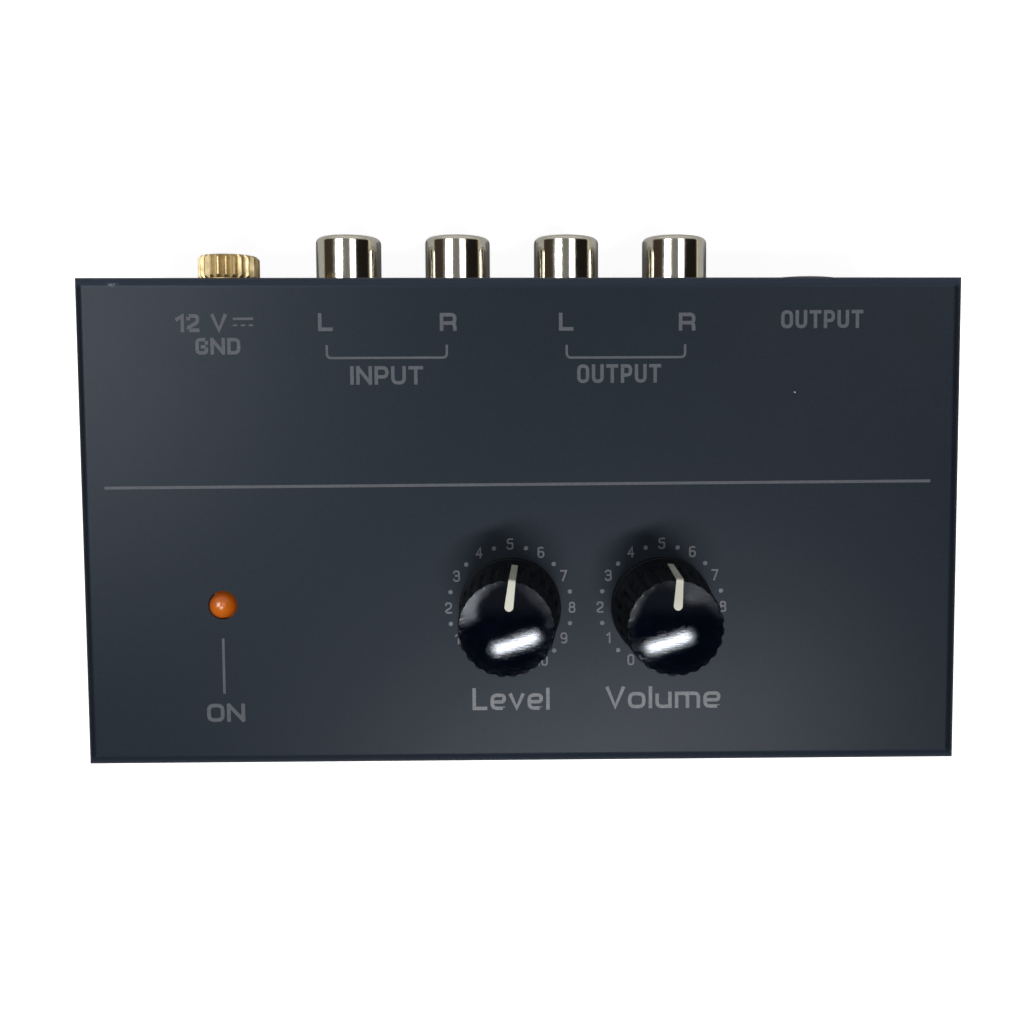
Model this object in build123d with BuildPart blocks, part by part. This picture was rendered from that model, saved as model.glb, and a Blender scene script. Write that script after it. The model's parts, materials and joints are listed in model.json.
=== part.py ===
from build123d import *
import os
from math import cos, radians, sin

os.makedirs("parts", exist_ok=True)

# A small desktop phono preamplifier. X runs along its width, +Y points to the rear with the jacks,
# +Z is up, and Z = 0 is the surface that its rubber feet stand on. All sizes are in millimetres.

# ------------------------------------------------------------------ driving dimensions
# Enclosure: a five-sided folded cover closed by a flanged base plate
box_width = 104.0
box_depth = 57.6
box_height = 32.0
sheet = 1.0
bend_radius = 1.2
seam_gap = 0.2
seam_below_bend = 0.5
base_gap = 0.15
flange_height = 8.0
flange_notch = 6.0
foot_radius = 5.0
foot_height = 2.4
foot_taper = 0.4
foot_inset = 8.0

# Screws, all M3 with a pan head and a cross recess
screw_radius = 1.5
screw_head_radius = 2.7
screw_head_edge = 0.7
screw_head_height = 1.8
recess_length = 2.6
recess_width = 0.6
recess_depth = 1.0
thread_gap = 0.05
screw_hole_gap = 0.2
side_screw_length = 4.0
side_screw_spread = 34.0
side_screw_height = 5.0

# Circuit board and its spacers
board_thickness = 1.6
board_side_gap = 3.5
board_front_gap = 1.0
board_rear_gap = 0.2
spacer_flats = 5.5
spacer_screw_gap = 0.6
front_spacer_x = 30.0
front_spacer_inset = 4.0
side_spacer_inset = 3.5
side_spacer_setback = 4.1
pin_hole_radius = 0.65
pin_stub = 1.0
pin_clearance = 0.15

# Jack rows on the rear wall; heights are measured down from the top face
jack_axis_drop = 16.8
jack_axis_rise = 8.0
jack_pitch = 14.0
first_jack_x = -22.44
shell_radius = 4.15
shell_reach = 6.85
shell_tail_radius = 3.85
shell_bore_radius = 3.5
shell_tail = 3.0
shell_edge = 0.6
collar_radius = 4.6
collar_reach = 1.15
collar_gap = 0.15
insulator_recess = 0.3
contact_radius = 2.0
contact_bore_radius = 1.65
contact_recess = 0.5
contact_floor = 1.0
block_margin = 0.7
block_depth = 10.5
block_height = 14.0
channel_width = 2.0
channel_rise = 2.0
tab_width = 1.0
tab_thickness = 0.5
ground_tab_setback = 2.1

# Phone jack (6.35 mm)
phone_spacing = 16.6
phone_width = 18.0
phone_depth = 28.0
phone_height = 16.4
phone_wall = 2.0
phone_nose_radius = 5.5
phone_nose_reach = 1.4
phone_nose_edge = 0.4
phone_sleeve_radius = 4.5
phone_bore_radius = 3.2
phone_sleeve_length = 7.0
spring_thickness = 0.4
spring_width = 3.0
spring_clearance = 0.4
tip_spring_depth = 27.0
ring_spring_depth = 20.0
spring_reach = 5.0

# Power jack (5.5 x 2.1 mm)
column_spacing = 13.06
power_axis_rise = 6.5
power_width = 9.0
power_depth = 14.2
power_height = 11.0
power_nose_radius = 4.2
power_bore_radius = 3.1
power_bore_depth = 9.5
power_pin_radius = 1.05
power_root_radius = 0.8
power_pin_recess = 0.6
power_leaf_thickness = 0.3
power_leaf_width = 2.4

# Ground terminal
ground_drop = 7.0
ground_screw_radius = 2.0
ground_head_radius = 3.6
ground_head_height = 2.2
ground_slot_width = 1.0
lug_radius = 3.9
lug_thickness = 0.8
lug_tail_width = 3.0
lug_tail_reach = 7.5
washer_radius = 3.4
washer_thickness = 0.35
nut_radius = 3.65
nut_height = 2.8
nut_bevel = 0.35
knurl_count = 24
knurl_depth = 0.3
running_gap = 0.05
wire_radius = 0.6
wire_bend = 3.0

# Level and volume controls
level_x = -1.5
control_pitch = 18.0
control_from_front = 18.7
level_angle = 7.0
volume_angle = 4.6
pot_width = 9.8
pot_depth = 11.4
pot_height = 8.6
pot_floor = 1.0
pot_cavity_radius = 3.9
track_thickness = 0.8
track_hole_radius = 1.0
rotor_radius = 3.6
rotor_thickness = 1.2
rotor_gap = 0.15
frame_thickness = 0.8
frame_leg_width = 4.0
bushing_radius = 3.5
bushing_height = 4.0
shaft_radius = 3.0
shaft_flat = 1.5
shaft_flat_length = 7.0
shaft_hole_gap = 0.75
terminal_pitch = 2.5
terminal_width = 0.8
terminal_thickness = 0.5
terminal_rise = 1.5

# Knobs: heights are measured up from the knob's underside
knob_gap = 0.4
knob_height = 16.86
skirt_radius = 6.0
skirt_height = 1.2
skirt_edge = 0.1
grip_radius = 5.9
rim_radius = 5.2
rim_height = 16.3
crown_radius = 5.05
crown_height = 16.4
knob_bore_depth = 12.2
knob_bore_gap = 0.03
flute_count = 24
flute_radius = 0.5
flute_depth = 0.2
flute_start = 7.6
pointer_inner = 2.4
pointer_inner_width = 0.94
pointer_outer_width = 0.7
pointer_inset = 0.3
pointer_proud = 0.08
pointer_foot = 5.7

# Power indicator
led_from_front = 19.2
led_radius = 1.5
led_reach = 1.6
led_body = 2.8
led_flange_radius = 1.9
led_flange = 1.0
led_hole_gap = 0.2
led_lead = 0.5
led_lead_pitch = 2.54
led_spacer_radius = 2.4
led_spacer_gap = 0.1

# Small parts on the board
chip_length = 9.6
chip_width = 6.4
chip_height = 3.3
chip_lift = 0.5
chip_pin_pitch = 2.54
chip_pin_width = 0.5
chip_pin_row = 7.62
can_height = 11.0
can_radius = 2.5
can_groove = 0.25
can_neck = 1.2
film_length = 7.2
film_width = 2.6
film_height = 6.6
resistor_length = 6.3
resistor_radius = 1.15
resistor_span = 7.62
diode_length = 4.8
lead_radius = 0.3
lead_bend = 0.7
body_lift = 0.1
regulator_width = 4.8
regulator_depth = 3.6
regulator_height = 4.8
regulator_lift = 2.0
regulator_pin_pitch = 1.5
long_row_count = 4
short_row_count = 2

# ------------------------------------------------------------------ derived planes and places
front_y = -(box_depth + shell_reach) / 2
rear_y = front_y + box_depth
mid_y = front_y + box_depth / 2
inner_rear_y = rear_y - sheet
under_z = foot_height
floor_z = under_z + sheet
top_z = under_z + box_height
ceiling_z = top_z - sheet

jack_z = top_z - jack_axis_drop
board_top = jack_z - jack_axis_rise
board_bottom = board_top - board_thickness
board_half = box_width / 2 - sheet - board_side_gap
board_front_y = front_y + sheet + board_front_gap
board_rear_y = inner_rear_y - board_rear_gap

base_half = box_width / 2 - sheet - base_gap
base_length = box_depth - 2 * sheet - 2 * base_gap
tapped_radius = screw_radius + thread_gap
screw_hole_radius = screw_radius + screw_hole_gap
side_screw_z = under_z + side_screw_height
input_x = [first_jack_x, first_jack_x + jack_pitch]
output_x = [first_jack_x + 2 * jack_pitch, first_jack_x + 3 * jack_pitch]
phone_jack_x = output_x[1] + phone_spacing
column_x = input_x[0] - column_spacing
block_width = jack_pitch + 2 * (collar_radius + block_margin)
signal_tab_y = inner_rear_y - shell_tail - tab_thickness
ground_tab_y = inner_rear_y - ground_tab_setback
power_z = board_top + power_axis_rise
power_front_y = inner_rear_y - power_depth
ground_z = top_z - ground_drop
phone_front_y = inner_rear_y - phone_depth
phone_tip_y = rear_y + phone_nose_reach - tip_spring_depth
phone_ring_y = rear_y + phone_nose_reach - ring_spring_depth
phone_cavity_half = phone_width / 2 - phone_wall
spacer_bite = (board_bottom - floor_z - spacer_screw_gap) / 2
front_spacer_y = board_front_y + front_spacer_inset
side_spacer_x = board_half - side_spacer_inset
side_spacer_y = phone_front_y - side_spacer_setback
spacer_places = [
    (-front_spacer_x, front_spacer_y),
    (front_spacer_x, front_spacer_y),
    (-side_spacer_x, side_spacer_y),
    (side_spacer_x, side_spacer_y),
]

control_y = front_y + control_from_front
volume_x = level_x + control_pitch
led_y = front_y + led_from_front
led_base_z = top_z + led_reach - led_radius - led_body - led_flange
pot_top = board_top + pot_height
knob_base_z = top_z + knob_gap
shaft_top_z = knob_base_z + knob_bore_depth
tail_z = board_bottom - pin_stub


# ------------------------------------------------------------------ helpers
def rearward(x, z, y):
    """Plane at a point of the rear side whose normal points out of the rear."""
    return Plane(origin=(x, y, z), x_dir=(1, 0, 0), z_dir=(0, 1, 0))


def upward(x, y, z):
    """Level plane at a point, facing up."""
    return Plane(origin=(x, y, z))


def half_plane(seat):
    """Plane of a turned profile: local x is the radius and local y runs along the seat's normal."""
    return Plane(origin=seat.origin, x_dir=seat.x_dir, z_dir=seat.x_dir.cross(seat.z_dir))


def turn(seat, points, mode=Mode.ADD):
    """Turn a closed outline of (radius, height) points about the seat's normal."""
    with BuildSketch(half_plane(seat)) as profile:
        with BuildLine():
            Polyline(*points, close=True)
        make_face()
    revolve(profile.sketch, axis=Axis(seat.origin, seat.z_dir), mode=mode)


def rod(seat, radius, length, mode=Mode.ADD):
    """Round bar or hole of the given length, standing on the seat."""
    with BuildSketch(seat) as section:
        Circle(radius)
    extrude(section.sketch, amount=length, mode=mode)


def block(low, high, mode=Mode.ADD):
    """Upright block between two opposite corners."""
    middle = upward((low[0] + high[0]) / 2, (low[1] + high[1]) / 2, low[2])
    with BuildSketch(middle) as section:
        Rectangle(high[0] - low[0], high[1] - low[1])
    extrude(section.sketch, amount=high[2] - low[2], mode=mode)


def pan_screw(seat, shank):
    """M3 screw whose pan head stands on the seat and whose shank runs down through it."""
    with BuildSketch(half_plane(seat)) as profile:
        with BuildLine():
            Polyline(
                (0, screw_head_height),
                (0, -shank),
                (screw_radius, -shank),
                (screw_radius, 0),
                (screw_head_radius, 0),
                (screw_head_radius, screw_head_edge),
            )
            EllipticalCenterArc(
                (0, screw_head_edge),
                screw_head_radius,
                screw_head_height - screw_head_edge,
                start_angle=0,
                arc_size=90,
            )
        make_face()
    revolve(profile.sketch, axis=Axis(seat.origin, seat.z_dir))
    with BuildSketch(seat.offset(screw_head_height)) as cross:
        Rectangle(recess_length, recess_width)
        Rectangle(recess_width, recess_length)
    extrude(cross.sketch, amount=-recess_depth, mode=Mode.SUBTRACT)


def save(piece, name):
    """Label a finished piece and write it as its own STEP file."""
    piece.part.label = name
    export_step(piece.part, f"parts/{name}.step")


# ------------------------------------------------------------------ enclosure
rear_face = Plane(origin=(0, rear_y, 0), x_dir=(1, 0, 0), z_dir=(0, -1, 0))

with BuildPart() as top_cover:
    with BuildSketch(Plane.XY.offset(under_z)):
        with Locations((0, mid_y)):
            Rectangle(box_width, box_depth)
    extrude(amount=box_height)
    fillet(top_cover.faces().sort_by(Axis.Z)[-1].edges(), radius=bend_radius)
    with BuildSketch(Plane.XY.offset(under_z)):
        with Locations((0, mid_y)):
            Rectangle(box_width - 2 * sheet, box_depth - 2 * sheet)
    extrude(amount=box_height - sheet, mode=Mode.SUBTRACT)
    with BuildSketch(Plane.XY.offset(under_z)):
        with Locations((0, mid_y)):
            with GridLocations(box_width - 2 * sheet - seam_gap, box_depth - sheet, 2, 2):
                Rectangle(seam_gap, sheet)
    extrude(amount=box_height - bend_radius - seam_below_bend, mode=Mode.SUBTRACT)
    with BuildSketch(rear_face):
        with Locations(*[(x, jack_z) for x in input_x + output_x]):
            Circle(collar_radius + collar_gap)
        with Locations((sum(input_x) / 2, jack_z), (sum(output_x) / 2, jack_z)):
            Circle(screw_hole_radius)
        with Locations((phone_jack_x, jack_z)):
            Circle(phone_nose_radius + collar_gap)
        with Locations((column_x, power_z)):
            Circle(power_nose_radius + collar_gap)
        with Locations((column_x, ground_z)):
            Circle(ground_screw_radius + screw_hole_gap)
    extrude(amount=sheet, mode=Mode.SUBTRACT)
    with BuildSketch(Plane.XY.offset(ceiling_z)):
        with Locations((level_x, control_y), (volume_x, control_y)):
            Circle(shaft_radius + shaft_hole_gap)
        with Locations((column_x, led_y)):
            Circle(led_radius + led_hole_gap)
    extrude(amount=sheet, mode=Mode.SUBTRACT)
    with BuildSketch(Plane.YZ.offset(-box_width / 2)):
        with Locations((mid_y, side_screw_z)):
            with GridLocations(side_screw_spread, 0, 2, 1):
                Circle(screw_hole_radius)
    extrude(amount=box_width, mode=Mode.SUBTRACT)
save(top_cover, "top_cover")

with BuildPart() as base_plate:
    with BuildSketch(Plane.XZ.offset(-(mid_y + base_length / 2))):
        with Locations((0, under_z + flange_height / 2)):
            tray = Rectangle(2 * base_half, flange_height)
        fillet(tray.vertices().group_by(Axis.Z)[0], radius=bend_radius)
        with Locations((0, floor_z + flange_height / 2)):
            Rectangle(2 * (base_half - sheet), flange_height, mode=Mode.SUBTRACT)
    extrude(amount=base_length)
    with BuildSketch(Plane.XY.offset(floor_z)):
        with Locations((0, mid_y)):
            with GridLocations(2 * base_half, base_length, 2, 2):
                Rectangle(2 * (sheet + bend_radius), 2 * flange_notch)
    extrude(amount=flange_height, mode=Mode.SUBTRACT)
    with BuildSketch(Plane.XY.offset(under_z)):
        with Locations(*spacer_places):
            Circle(screw_hole_radius)
    extrude(amount=sheet, mode=Mode.SUBTRACT)
    with BuildSketch(Plane.YZ.offset(-base_half)):
        with Locations((mid_y, side_screw_z)):
            with GridLocations(side_screw_spread, 0, 2, 1):
                Circle(tapped_radius)
    extrude(amount=2 * base_half, mode=Mode.SUBTRACT)
save(base_plate, "base_plate")

with BuildPart() as side_screws:
    for side in (-1, 1):
        for end in (-1, 1):
            seat_point = (side * box_width / 2, mid_y + end * side_screw_spread / 2, side_screw_z)
            pan_screw(Plane(origin=seat_point, x_dir=(0, 1, 0), z_dir=(side, 0, 0)), side_screw_length)
save(side_screws, "side_screws")

with BuildPart() as board_spacers:
    for x, y in spacer_places:
        with BuildSketch(upward(x, y, floor_z)) as section:
            RegularPolygon(spacer_flats / 2, 6, major_radius=False)
            Circle(tapped_radius, mode=Mode.SUBTRACT)
        extrude(section.sketch, amount=board_bottom - floor_z)
save(board_spacers, "board_spacers")

with BuildPart() as board_screws:
    for x, y in spacer_places:
        pan_screw(upward(x, y, board_top), board_thickness + spacer_bite)
save(board_screws, "board_screws")

with BuildPart() as base_screws:
    for x, y in spacer_places:
        pan_screw(Plane(origin=(x, y, under_z), x_dir=(1, 0, 0), z_dir=(0, 0, -1)), sheet + spacer_bite)
save(base_screws, "base_screws")

with BuildPart() as rubber_feet:
    for side in (-1, 1):
        for end in (-1, 1):
            foot_x = side * (box_width / 2 - foot_inset)
            foot_y = mid_y + end * (box_depth / 2 - foot_inset)
            foot_outline = [
                (0, 0),
                (foot_radius - foot_taper, 0),
                (foot_radius, foot_taper),
                (foot_radius, foot_height),
                (0, foot_height),
            ]
            turn(upward(foot_x, foot_y, 0), foot_outline)
save(rubber_feet, "rubber_feet")


# ------------------------------------------------------------------ phono jacks
def jack_pair(name, jack_x):
    """One two-gang phono jack: block, shells, insulators, contacts and its fixing screw."""
    pair_x = sum(jack_x) / 2
    with BuildPart() as housing:
        block(
            (pair_x - block_width / 2, inner_rear_y - block_depth, board_top),
            (pair_x + block_width / 2, inner_rear_y, board_top + block_height),
        )
        for x in jack_x:
            shell_foot = rearward(x, jack_z, inner_rear_y - shell_tail)
            rod(rearward(x, jack_z, inner_rear_y), collar_radius, sheet + collar_reach)
            rod(shell_foot, shell_tail_radius, shell_tail + sheet + collar_reach, Mode.SUBTRACT)
            block(
                (x - channel_width / 2, inner_rear_y - block_depth, board_top),
                (x + channel_width / 2, inner_rear_y - shell_tail, jack_z + channel_rise),
                Mode.SUBTRACT,
            )
            block(
                (x - tab_width / 2, ground_tab_y - tab_thickness, board_top),
                (x + tab_width / 2, ground_tab_y, jack_z),
                Mode.SUBTRACT,
            )
        rod(rearward(pair_x, jack_z, inner_rear_y - block_depth), tapped_radius, block_depth, Mode.SUBTRACT)
        head_room = screw_head_radius + collar_gap
        rod(rearward(pair_x, jack_z, rear_y), head_room, collar_reach, Mode.SUBTRACT)
    save(housing, f"{name}_jack_block")

    with BuildPart() as shells:
        for x in jack_x:
            seat = rearward(x, jack_z, rear_y)
            with BuildSketch(half_plane(seat)) as profile:
                with BuildLine():
                    Polyline(
                        (shell_radius - shell_edge, shell_reach),
                        (shell_bore_radius, shell_reach),
                        (shell_bore_radius, -sheet - shell_tail),
                        (shell_tail_radius, -sheet - shell_tail),
                        (shell_tail_radius, collar_reach),
                        (shell_radius, collar_reach),
                        (shell_radius, shell_reach - shell_edge),
                    )
                    CenterArc((shell_radius - shell_edge, shell_reach - shell_edge), shell_edge, 0, 90)
                make_face()
            revolve(profile.sketch, axis=Axis(seat.origin, seat.z_dir))
            block(
                (x - tab_width / 2, ground_tab_y - tab_thickness, tail_z),
                (x + tab_width / 2, ground_tab_y, jack_z - (shell_bore_radius + shell_tail_radius) / 2),
            )
    save(shells, f"{name}_jack_shells")

    insulator_length = sheet + shell_tail + shell_reach - insulator_recess
    for x, channel in zip(jack_x, ("left", "right")):
        with BuildPart() as insulator:
            seat = rearward(x, jack_z, inner_rear_y - shell_tail)
            turn(
                seat,
                [
                    (contact_radius, 0),
                    (shell_bore_radius, 0),
                    (shell_bore_radius, insulator_length),
                    (contact_radius, insulator_length),
                ],
            )
        save(insulator, f"{name}_{channel}_insulator")

    with BuildPart() as contacts:
        contact_length = sheet + shell_tail + shell_reach - contact_recess
        for x in jack_x:
            seat = rearward(x, jack_z, inner_rear_y - shell_tail)
            rod(seat, contact_radius, contact_length)
            plug_seat = seat.offset(contact_floor)
            rod(plug_seat, contact_bore_radius, contact_length - contact_floor, Mode.SUBTRACT)
            block(
                (x - tab_width / 2, signal_tab_y, tail_z),
                (x + tab_width / 2, signal_tab_y + tab_thickness, jack_z + contact_radius / 2),
            )
    save(contacts, f"{name}_jack_contacts")

    with BuildPart() as screw:
        pan_screw(rearward(pair_x, jack_z, rear_y), sheet + block_depth / 2)
    save(screw, f"{name}_jack_screw")


jack_pair("input", input_x)
jack_pair("output", output_x)

# ------------------------------------------------------------------ phone jack
phone_nose_y = rear_y + phone_nose_reach
phone_sleeve_back_y = phone_nose_y - phone_sleeve_length
phone_top_z = board_top + phone_height
spring_low_z = jack_z - spring_width / 2

with BuildPart() as phone_jack_housing:
    block(
        (phone_jack_x - phone_width / 2, phone_front_y, board_top),
        (phone_jack_x + phone_width / 2, inner_rear_y, phone_top_z),
    )
    nose_seat = rearward(phone_jack_x, jack_z, inner_rear_y)
    sleeve_seat = rearward(phone_jack_x, jack_z, phone_sleeve_back_y)
    nose_length = sheet + phone_nose_reach
    turn(
        nose_seat,
        [
            (0, 0),
            (phone_nose_radius, 0),
            (phone_nose_radius, nose_length - phone_nose_edge),
            (phone_nose_radius - phone_nose_edge, nose_length),
            (0, nose_length),
        ],
    )
    rod(sleeve_seat, phone_sleeve_radius, phone_sleeve_length, Mode.SUBTRACT)
    block(
        (phone_jack_x - phone_cavity_half, phone_front_y + phone_wall, board_top + phone_wall),
        (phone_jack_x + phone_cavity_half, phone_sleeve_back_y, phone_top_z - phone_wall),
        Mode.SUBTRACT,
    )
    for side, spring_y in ((-1, phone_tip_y), (1, phone_ring_y)):
        slot_x = phone_jack_x + side * (phone_cavity_half - spring_thickness / 2)
        block(
            (slot_x - spring_thickness / 2, spring_y + spring_reach - tab_width, board_top),
            (slot_x + spring_thickness / 2, spring_y + spring_reach, board_top + phone_wall),
            Mode.SUBTRACT,
        )
save(phone_jack_housing, "phone_jack_housing")

with BuildPart() as phone_jack_sleeve:
    rod(sleeve_seat, phone_sleeve_radius, phone_sleeve_length)
    rod(sleeve_seat, phone_bore_radius, phone_sleeve_length, Mode.SUBTRACT)
save(phone_jack_sleeve, "phone_jack_sleeve")

for spring_name, side, spring_y in (("tip", -1, phone_tip_y), ("ring", 1, phone_ring_y)):
    with BuildPart() as spring:
        wall_x = phone_jack_x + side * phone_cavity_half
        near_x = phone_jack_x + side * (phone_bore_radius + spring_clearance)
        back_x = wall_x - side * spring_thickness
        with BuildSketch(Plane.XY.offset(spring_low_z)):
            with BuildLine():
                Polyline(
                    (wall_x, spring_y + spring_reach),
                    (wall_x, spring_y + spring_reach / 2),
                    (near_x + side * spring_thickness, spring_y),
                    (near_x, spring_y),
                    (back_x, spring_y + spring_reach / 2),
                    (back_x, spring_y + spring_reach),
                    close=True,
                )
            make_face()
        extrude(amount=spring_width)
        block(
            (min(wall_x, back_x), spring_y + spring_reach - tab_width, tail_z),
            (max(wall_x, back_x), spring_y + spring_reach, spring_low_z),
        )
    save(spring, f"phone_jack_{spring_name}_spring")

# ------------------------------------------------------------------ power jack
power_tab_y = power_front_y - tab_thickness
power_bore_end_y = rear_y - power_bore_depth
leaf_x = column_x + power_bore_radius
leaf_top_z = power_z + power_leaf_width / 2

with BuildPart() as power_jack_housing:
    block(
        (column_x - power_width / 2, power_front_y, board_top),
        (column_x + power_width / 2, inner_rear_y, board_top + power_height),
    )
    rod(rearward(column_x, power_z, inner_rear_y), power_nose_radius, sheet)
    rod(rearward(column_x, power_z, power_bore_end_y), power_bore_radius, power_bore_depth, Mode.SUBTRACT)
    rod(rearward(column_x, power_z, power_front_y), power_root_radius, power_depth, Mode.SUBTRACT)
    block(
        (leaf_x - power_leaf_thickness, power_bore_end_y, board_top),
        (leaf_x + power_leaf_thickness, power_bore_end_y + power_leaf_width, leaf_top_z),
        Mode.SUBTRACT,
    )
save(power_jack_housing, "power_jack_housing")

with BuildPart() as power_jack_pin:
    pin_length = rear_y - power_pin_recess - power_front_y
    root_length = power_bore_end_y - power_front_y
    turn(
        rearward(column_x, power_z, power_front_y),
        [
            (0, 0),
            (power_root_radius, 0),
            (power_root_radius, root_length),
            (power_pin_radius, root_length),
            (power_pin_radius, pin_length - power_pin_radius / 2),
            (power_pin_radius / 2, pin_length),
            (0, pin_length),
        ],
    )
    block(
        (column_x - tab_width / 2, power_tab_y, tail_z),
        (column_x + tab_width / 2, power_front_y, power_z + power_pin_radius),
    )
save(power_jack_pin, "power_jack_pin")

with BuildPart() as power_jack_leaf:
    block(
        (leaf_x, power_bore_end_y, tail_z),
        (leaf_x + power_leaf_thickness, power_bore_end_y + power_leaf_width, leaf_top_z),
    )
save(power_jack_leaf, "power_jack_leaf")

# ------------------------------------------------------------------ ground terminal
washer_y = rear_y + washer_thickness
nut_end_y = washer_y + nut_height
lug_y = inner_rear_y - lug_thickness
lug_tail_x = column_x - lug_tail_reach

with BuildPart() as ground_screw:
    head_seat = rearward(column_x, ground_z, lug_y - ground_head_height)
    rod(head_seat, ground_head_radius, ground_head_height)
    rod(rearward(column_x, ground_z, lug_y), ground_screw_radius, nut_end_y - lug_y - thread_gap)
    with BuildSketch(head_seat) as slot:
        Rectangle(2 * ground_head_radius, ground_slot_width)
    extrude(slot.sketch, amount=ground_head_height / 2, mode=Mode.SUBTRACT)
save(ground_screw, "ground_screw")

with BuildPart() as ground_lug:
    rod(rearward(column_x, ground_z, lug_y), lug_radius, lug_thickness)
    block(
        (lug_tail_x, lug_y, ground_z - lug_tail_width / 2),
        (column_x, inner_rear_y, ground_z + lug_tail_width / 2),
    )
    lug_seat = rearward(column_x, ground_z, lug_y)
    rod(lug_seat, ground_screw_radius + running_gap, lug_thickness, Mode.SUBTRACT)
save(ground_lug, "ground_lug")

with BuildPart() as ground_wire:
    wire_x = lug_tail_x + lug_tail_width / 2
    start_y = lug_y
    with BuildLine():
        FilletPolyline(
            (wire_x, start_y, ground_z),
            (wire_x, start_y - 2 * wire_bend, ground_z),
            (wire_x, start_y - 2 * wire_bend, board_top),
            radius=wire_bend,
        )
    with BuildSketch(rearward(wire_x, ground_z, start_y)):
        Circle(wire_radius)
    sweep()
save(ground_wire, "ground_wire")

with BuildPart() as ground_washer:
    washer_seat = rearward(column_x, ground_z, rear_y)
    rod(washer_seat, washer_radius, washer_thickness)
    rod(washer_seat, ground_screw_radius + running_gap, washer_thickness, Mode.SUBTRACT)
save(ground_washer, "ground_washer")

with BuildPart() as ground_nut:
    nut_seat = rearward(column_x, ground_z, washer_y)
    turn(
        nut_seat,
        [
            (ground_screw_radius + running_gap, 0),
            (nut_radius - nut_bevel, 0),
            (nut_radius, nut_bevel),
            (nut_radius, nut_height - nut_bevel),
            (nut_radius - nut_bevel, nut_height),
            (ground_screw_radius + running_gap, nut_height),
        ],
    )
    with BuildSketch(nut_seat):
        with PolarLocations(nut_radius, knurl_count):
            Rectangle(2 * knurl_depth, 2 * knurl_depth, rotation=45)
    extrude(amount=nut_height, mode=Mode.SUBTRACT)
save(ground_nut, "ground_nut")


# ------------------------------------------------------------------ level and volume controls
def shaft_section(gap):
    """Round section with one flat, larger all round by the gap."""
    Circle(shaft_radius + gap)
    with Locations((0, shaft_flat + gap + shaft_radius)):
        Rectangle(4 * shaft_radius, 2 * shaft_radius, mode=Mode.SUBTRACT)


def grip_profile(seat, grow):
    """Half section of a knob's grip above its skirt, larger all round by grow."""
    with BuildSketch(half_plane(seat)) as profile:
        with BuildLine():
            Polyline(
                (0, knob_height + grow),
                (0, skirt_height),
                (grip_radius + grow, skirt_height),
                (rim_radius + grow, rim_height),
                (crown_radius + grow, crown_height + grow),
            )
            TangentArc((0, knob_height + grow), (crown_radius + grow, crown_height + grow), tangent=(1, 0))
        make_face()
    return profile.sketch


def pointer_outline(seat):
    """Plan of the pointer: rounded at its inner end, tapering outward past the skirt."""
    half_in = pointer_inner_width / 2
    half_out = pointer_outer_width / 2
    with BuildSketch(seat) as plan:
        with BuildLine():
            Polyline(
                (-half_in, pointer_inner),
                (-half_out, grip_radius),
                (-half_out, skirt_radius),
                (half_out, skirt_radius),
                (half_out, grip_radius),
                (half_in, pointer_inner),
            )
            RadiusArc((half_in, pointer_inner), (-half_in, pointer_inner), half_in)
        make_face()
    return plan.sketch


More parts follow.
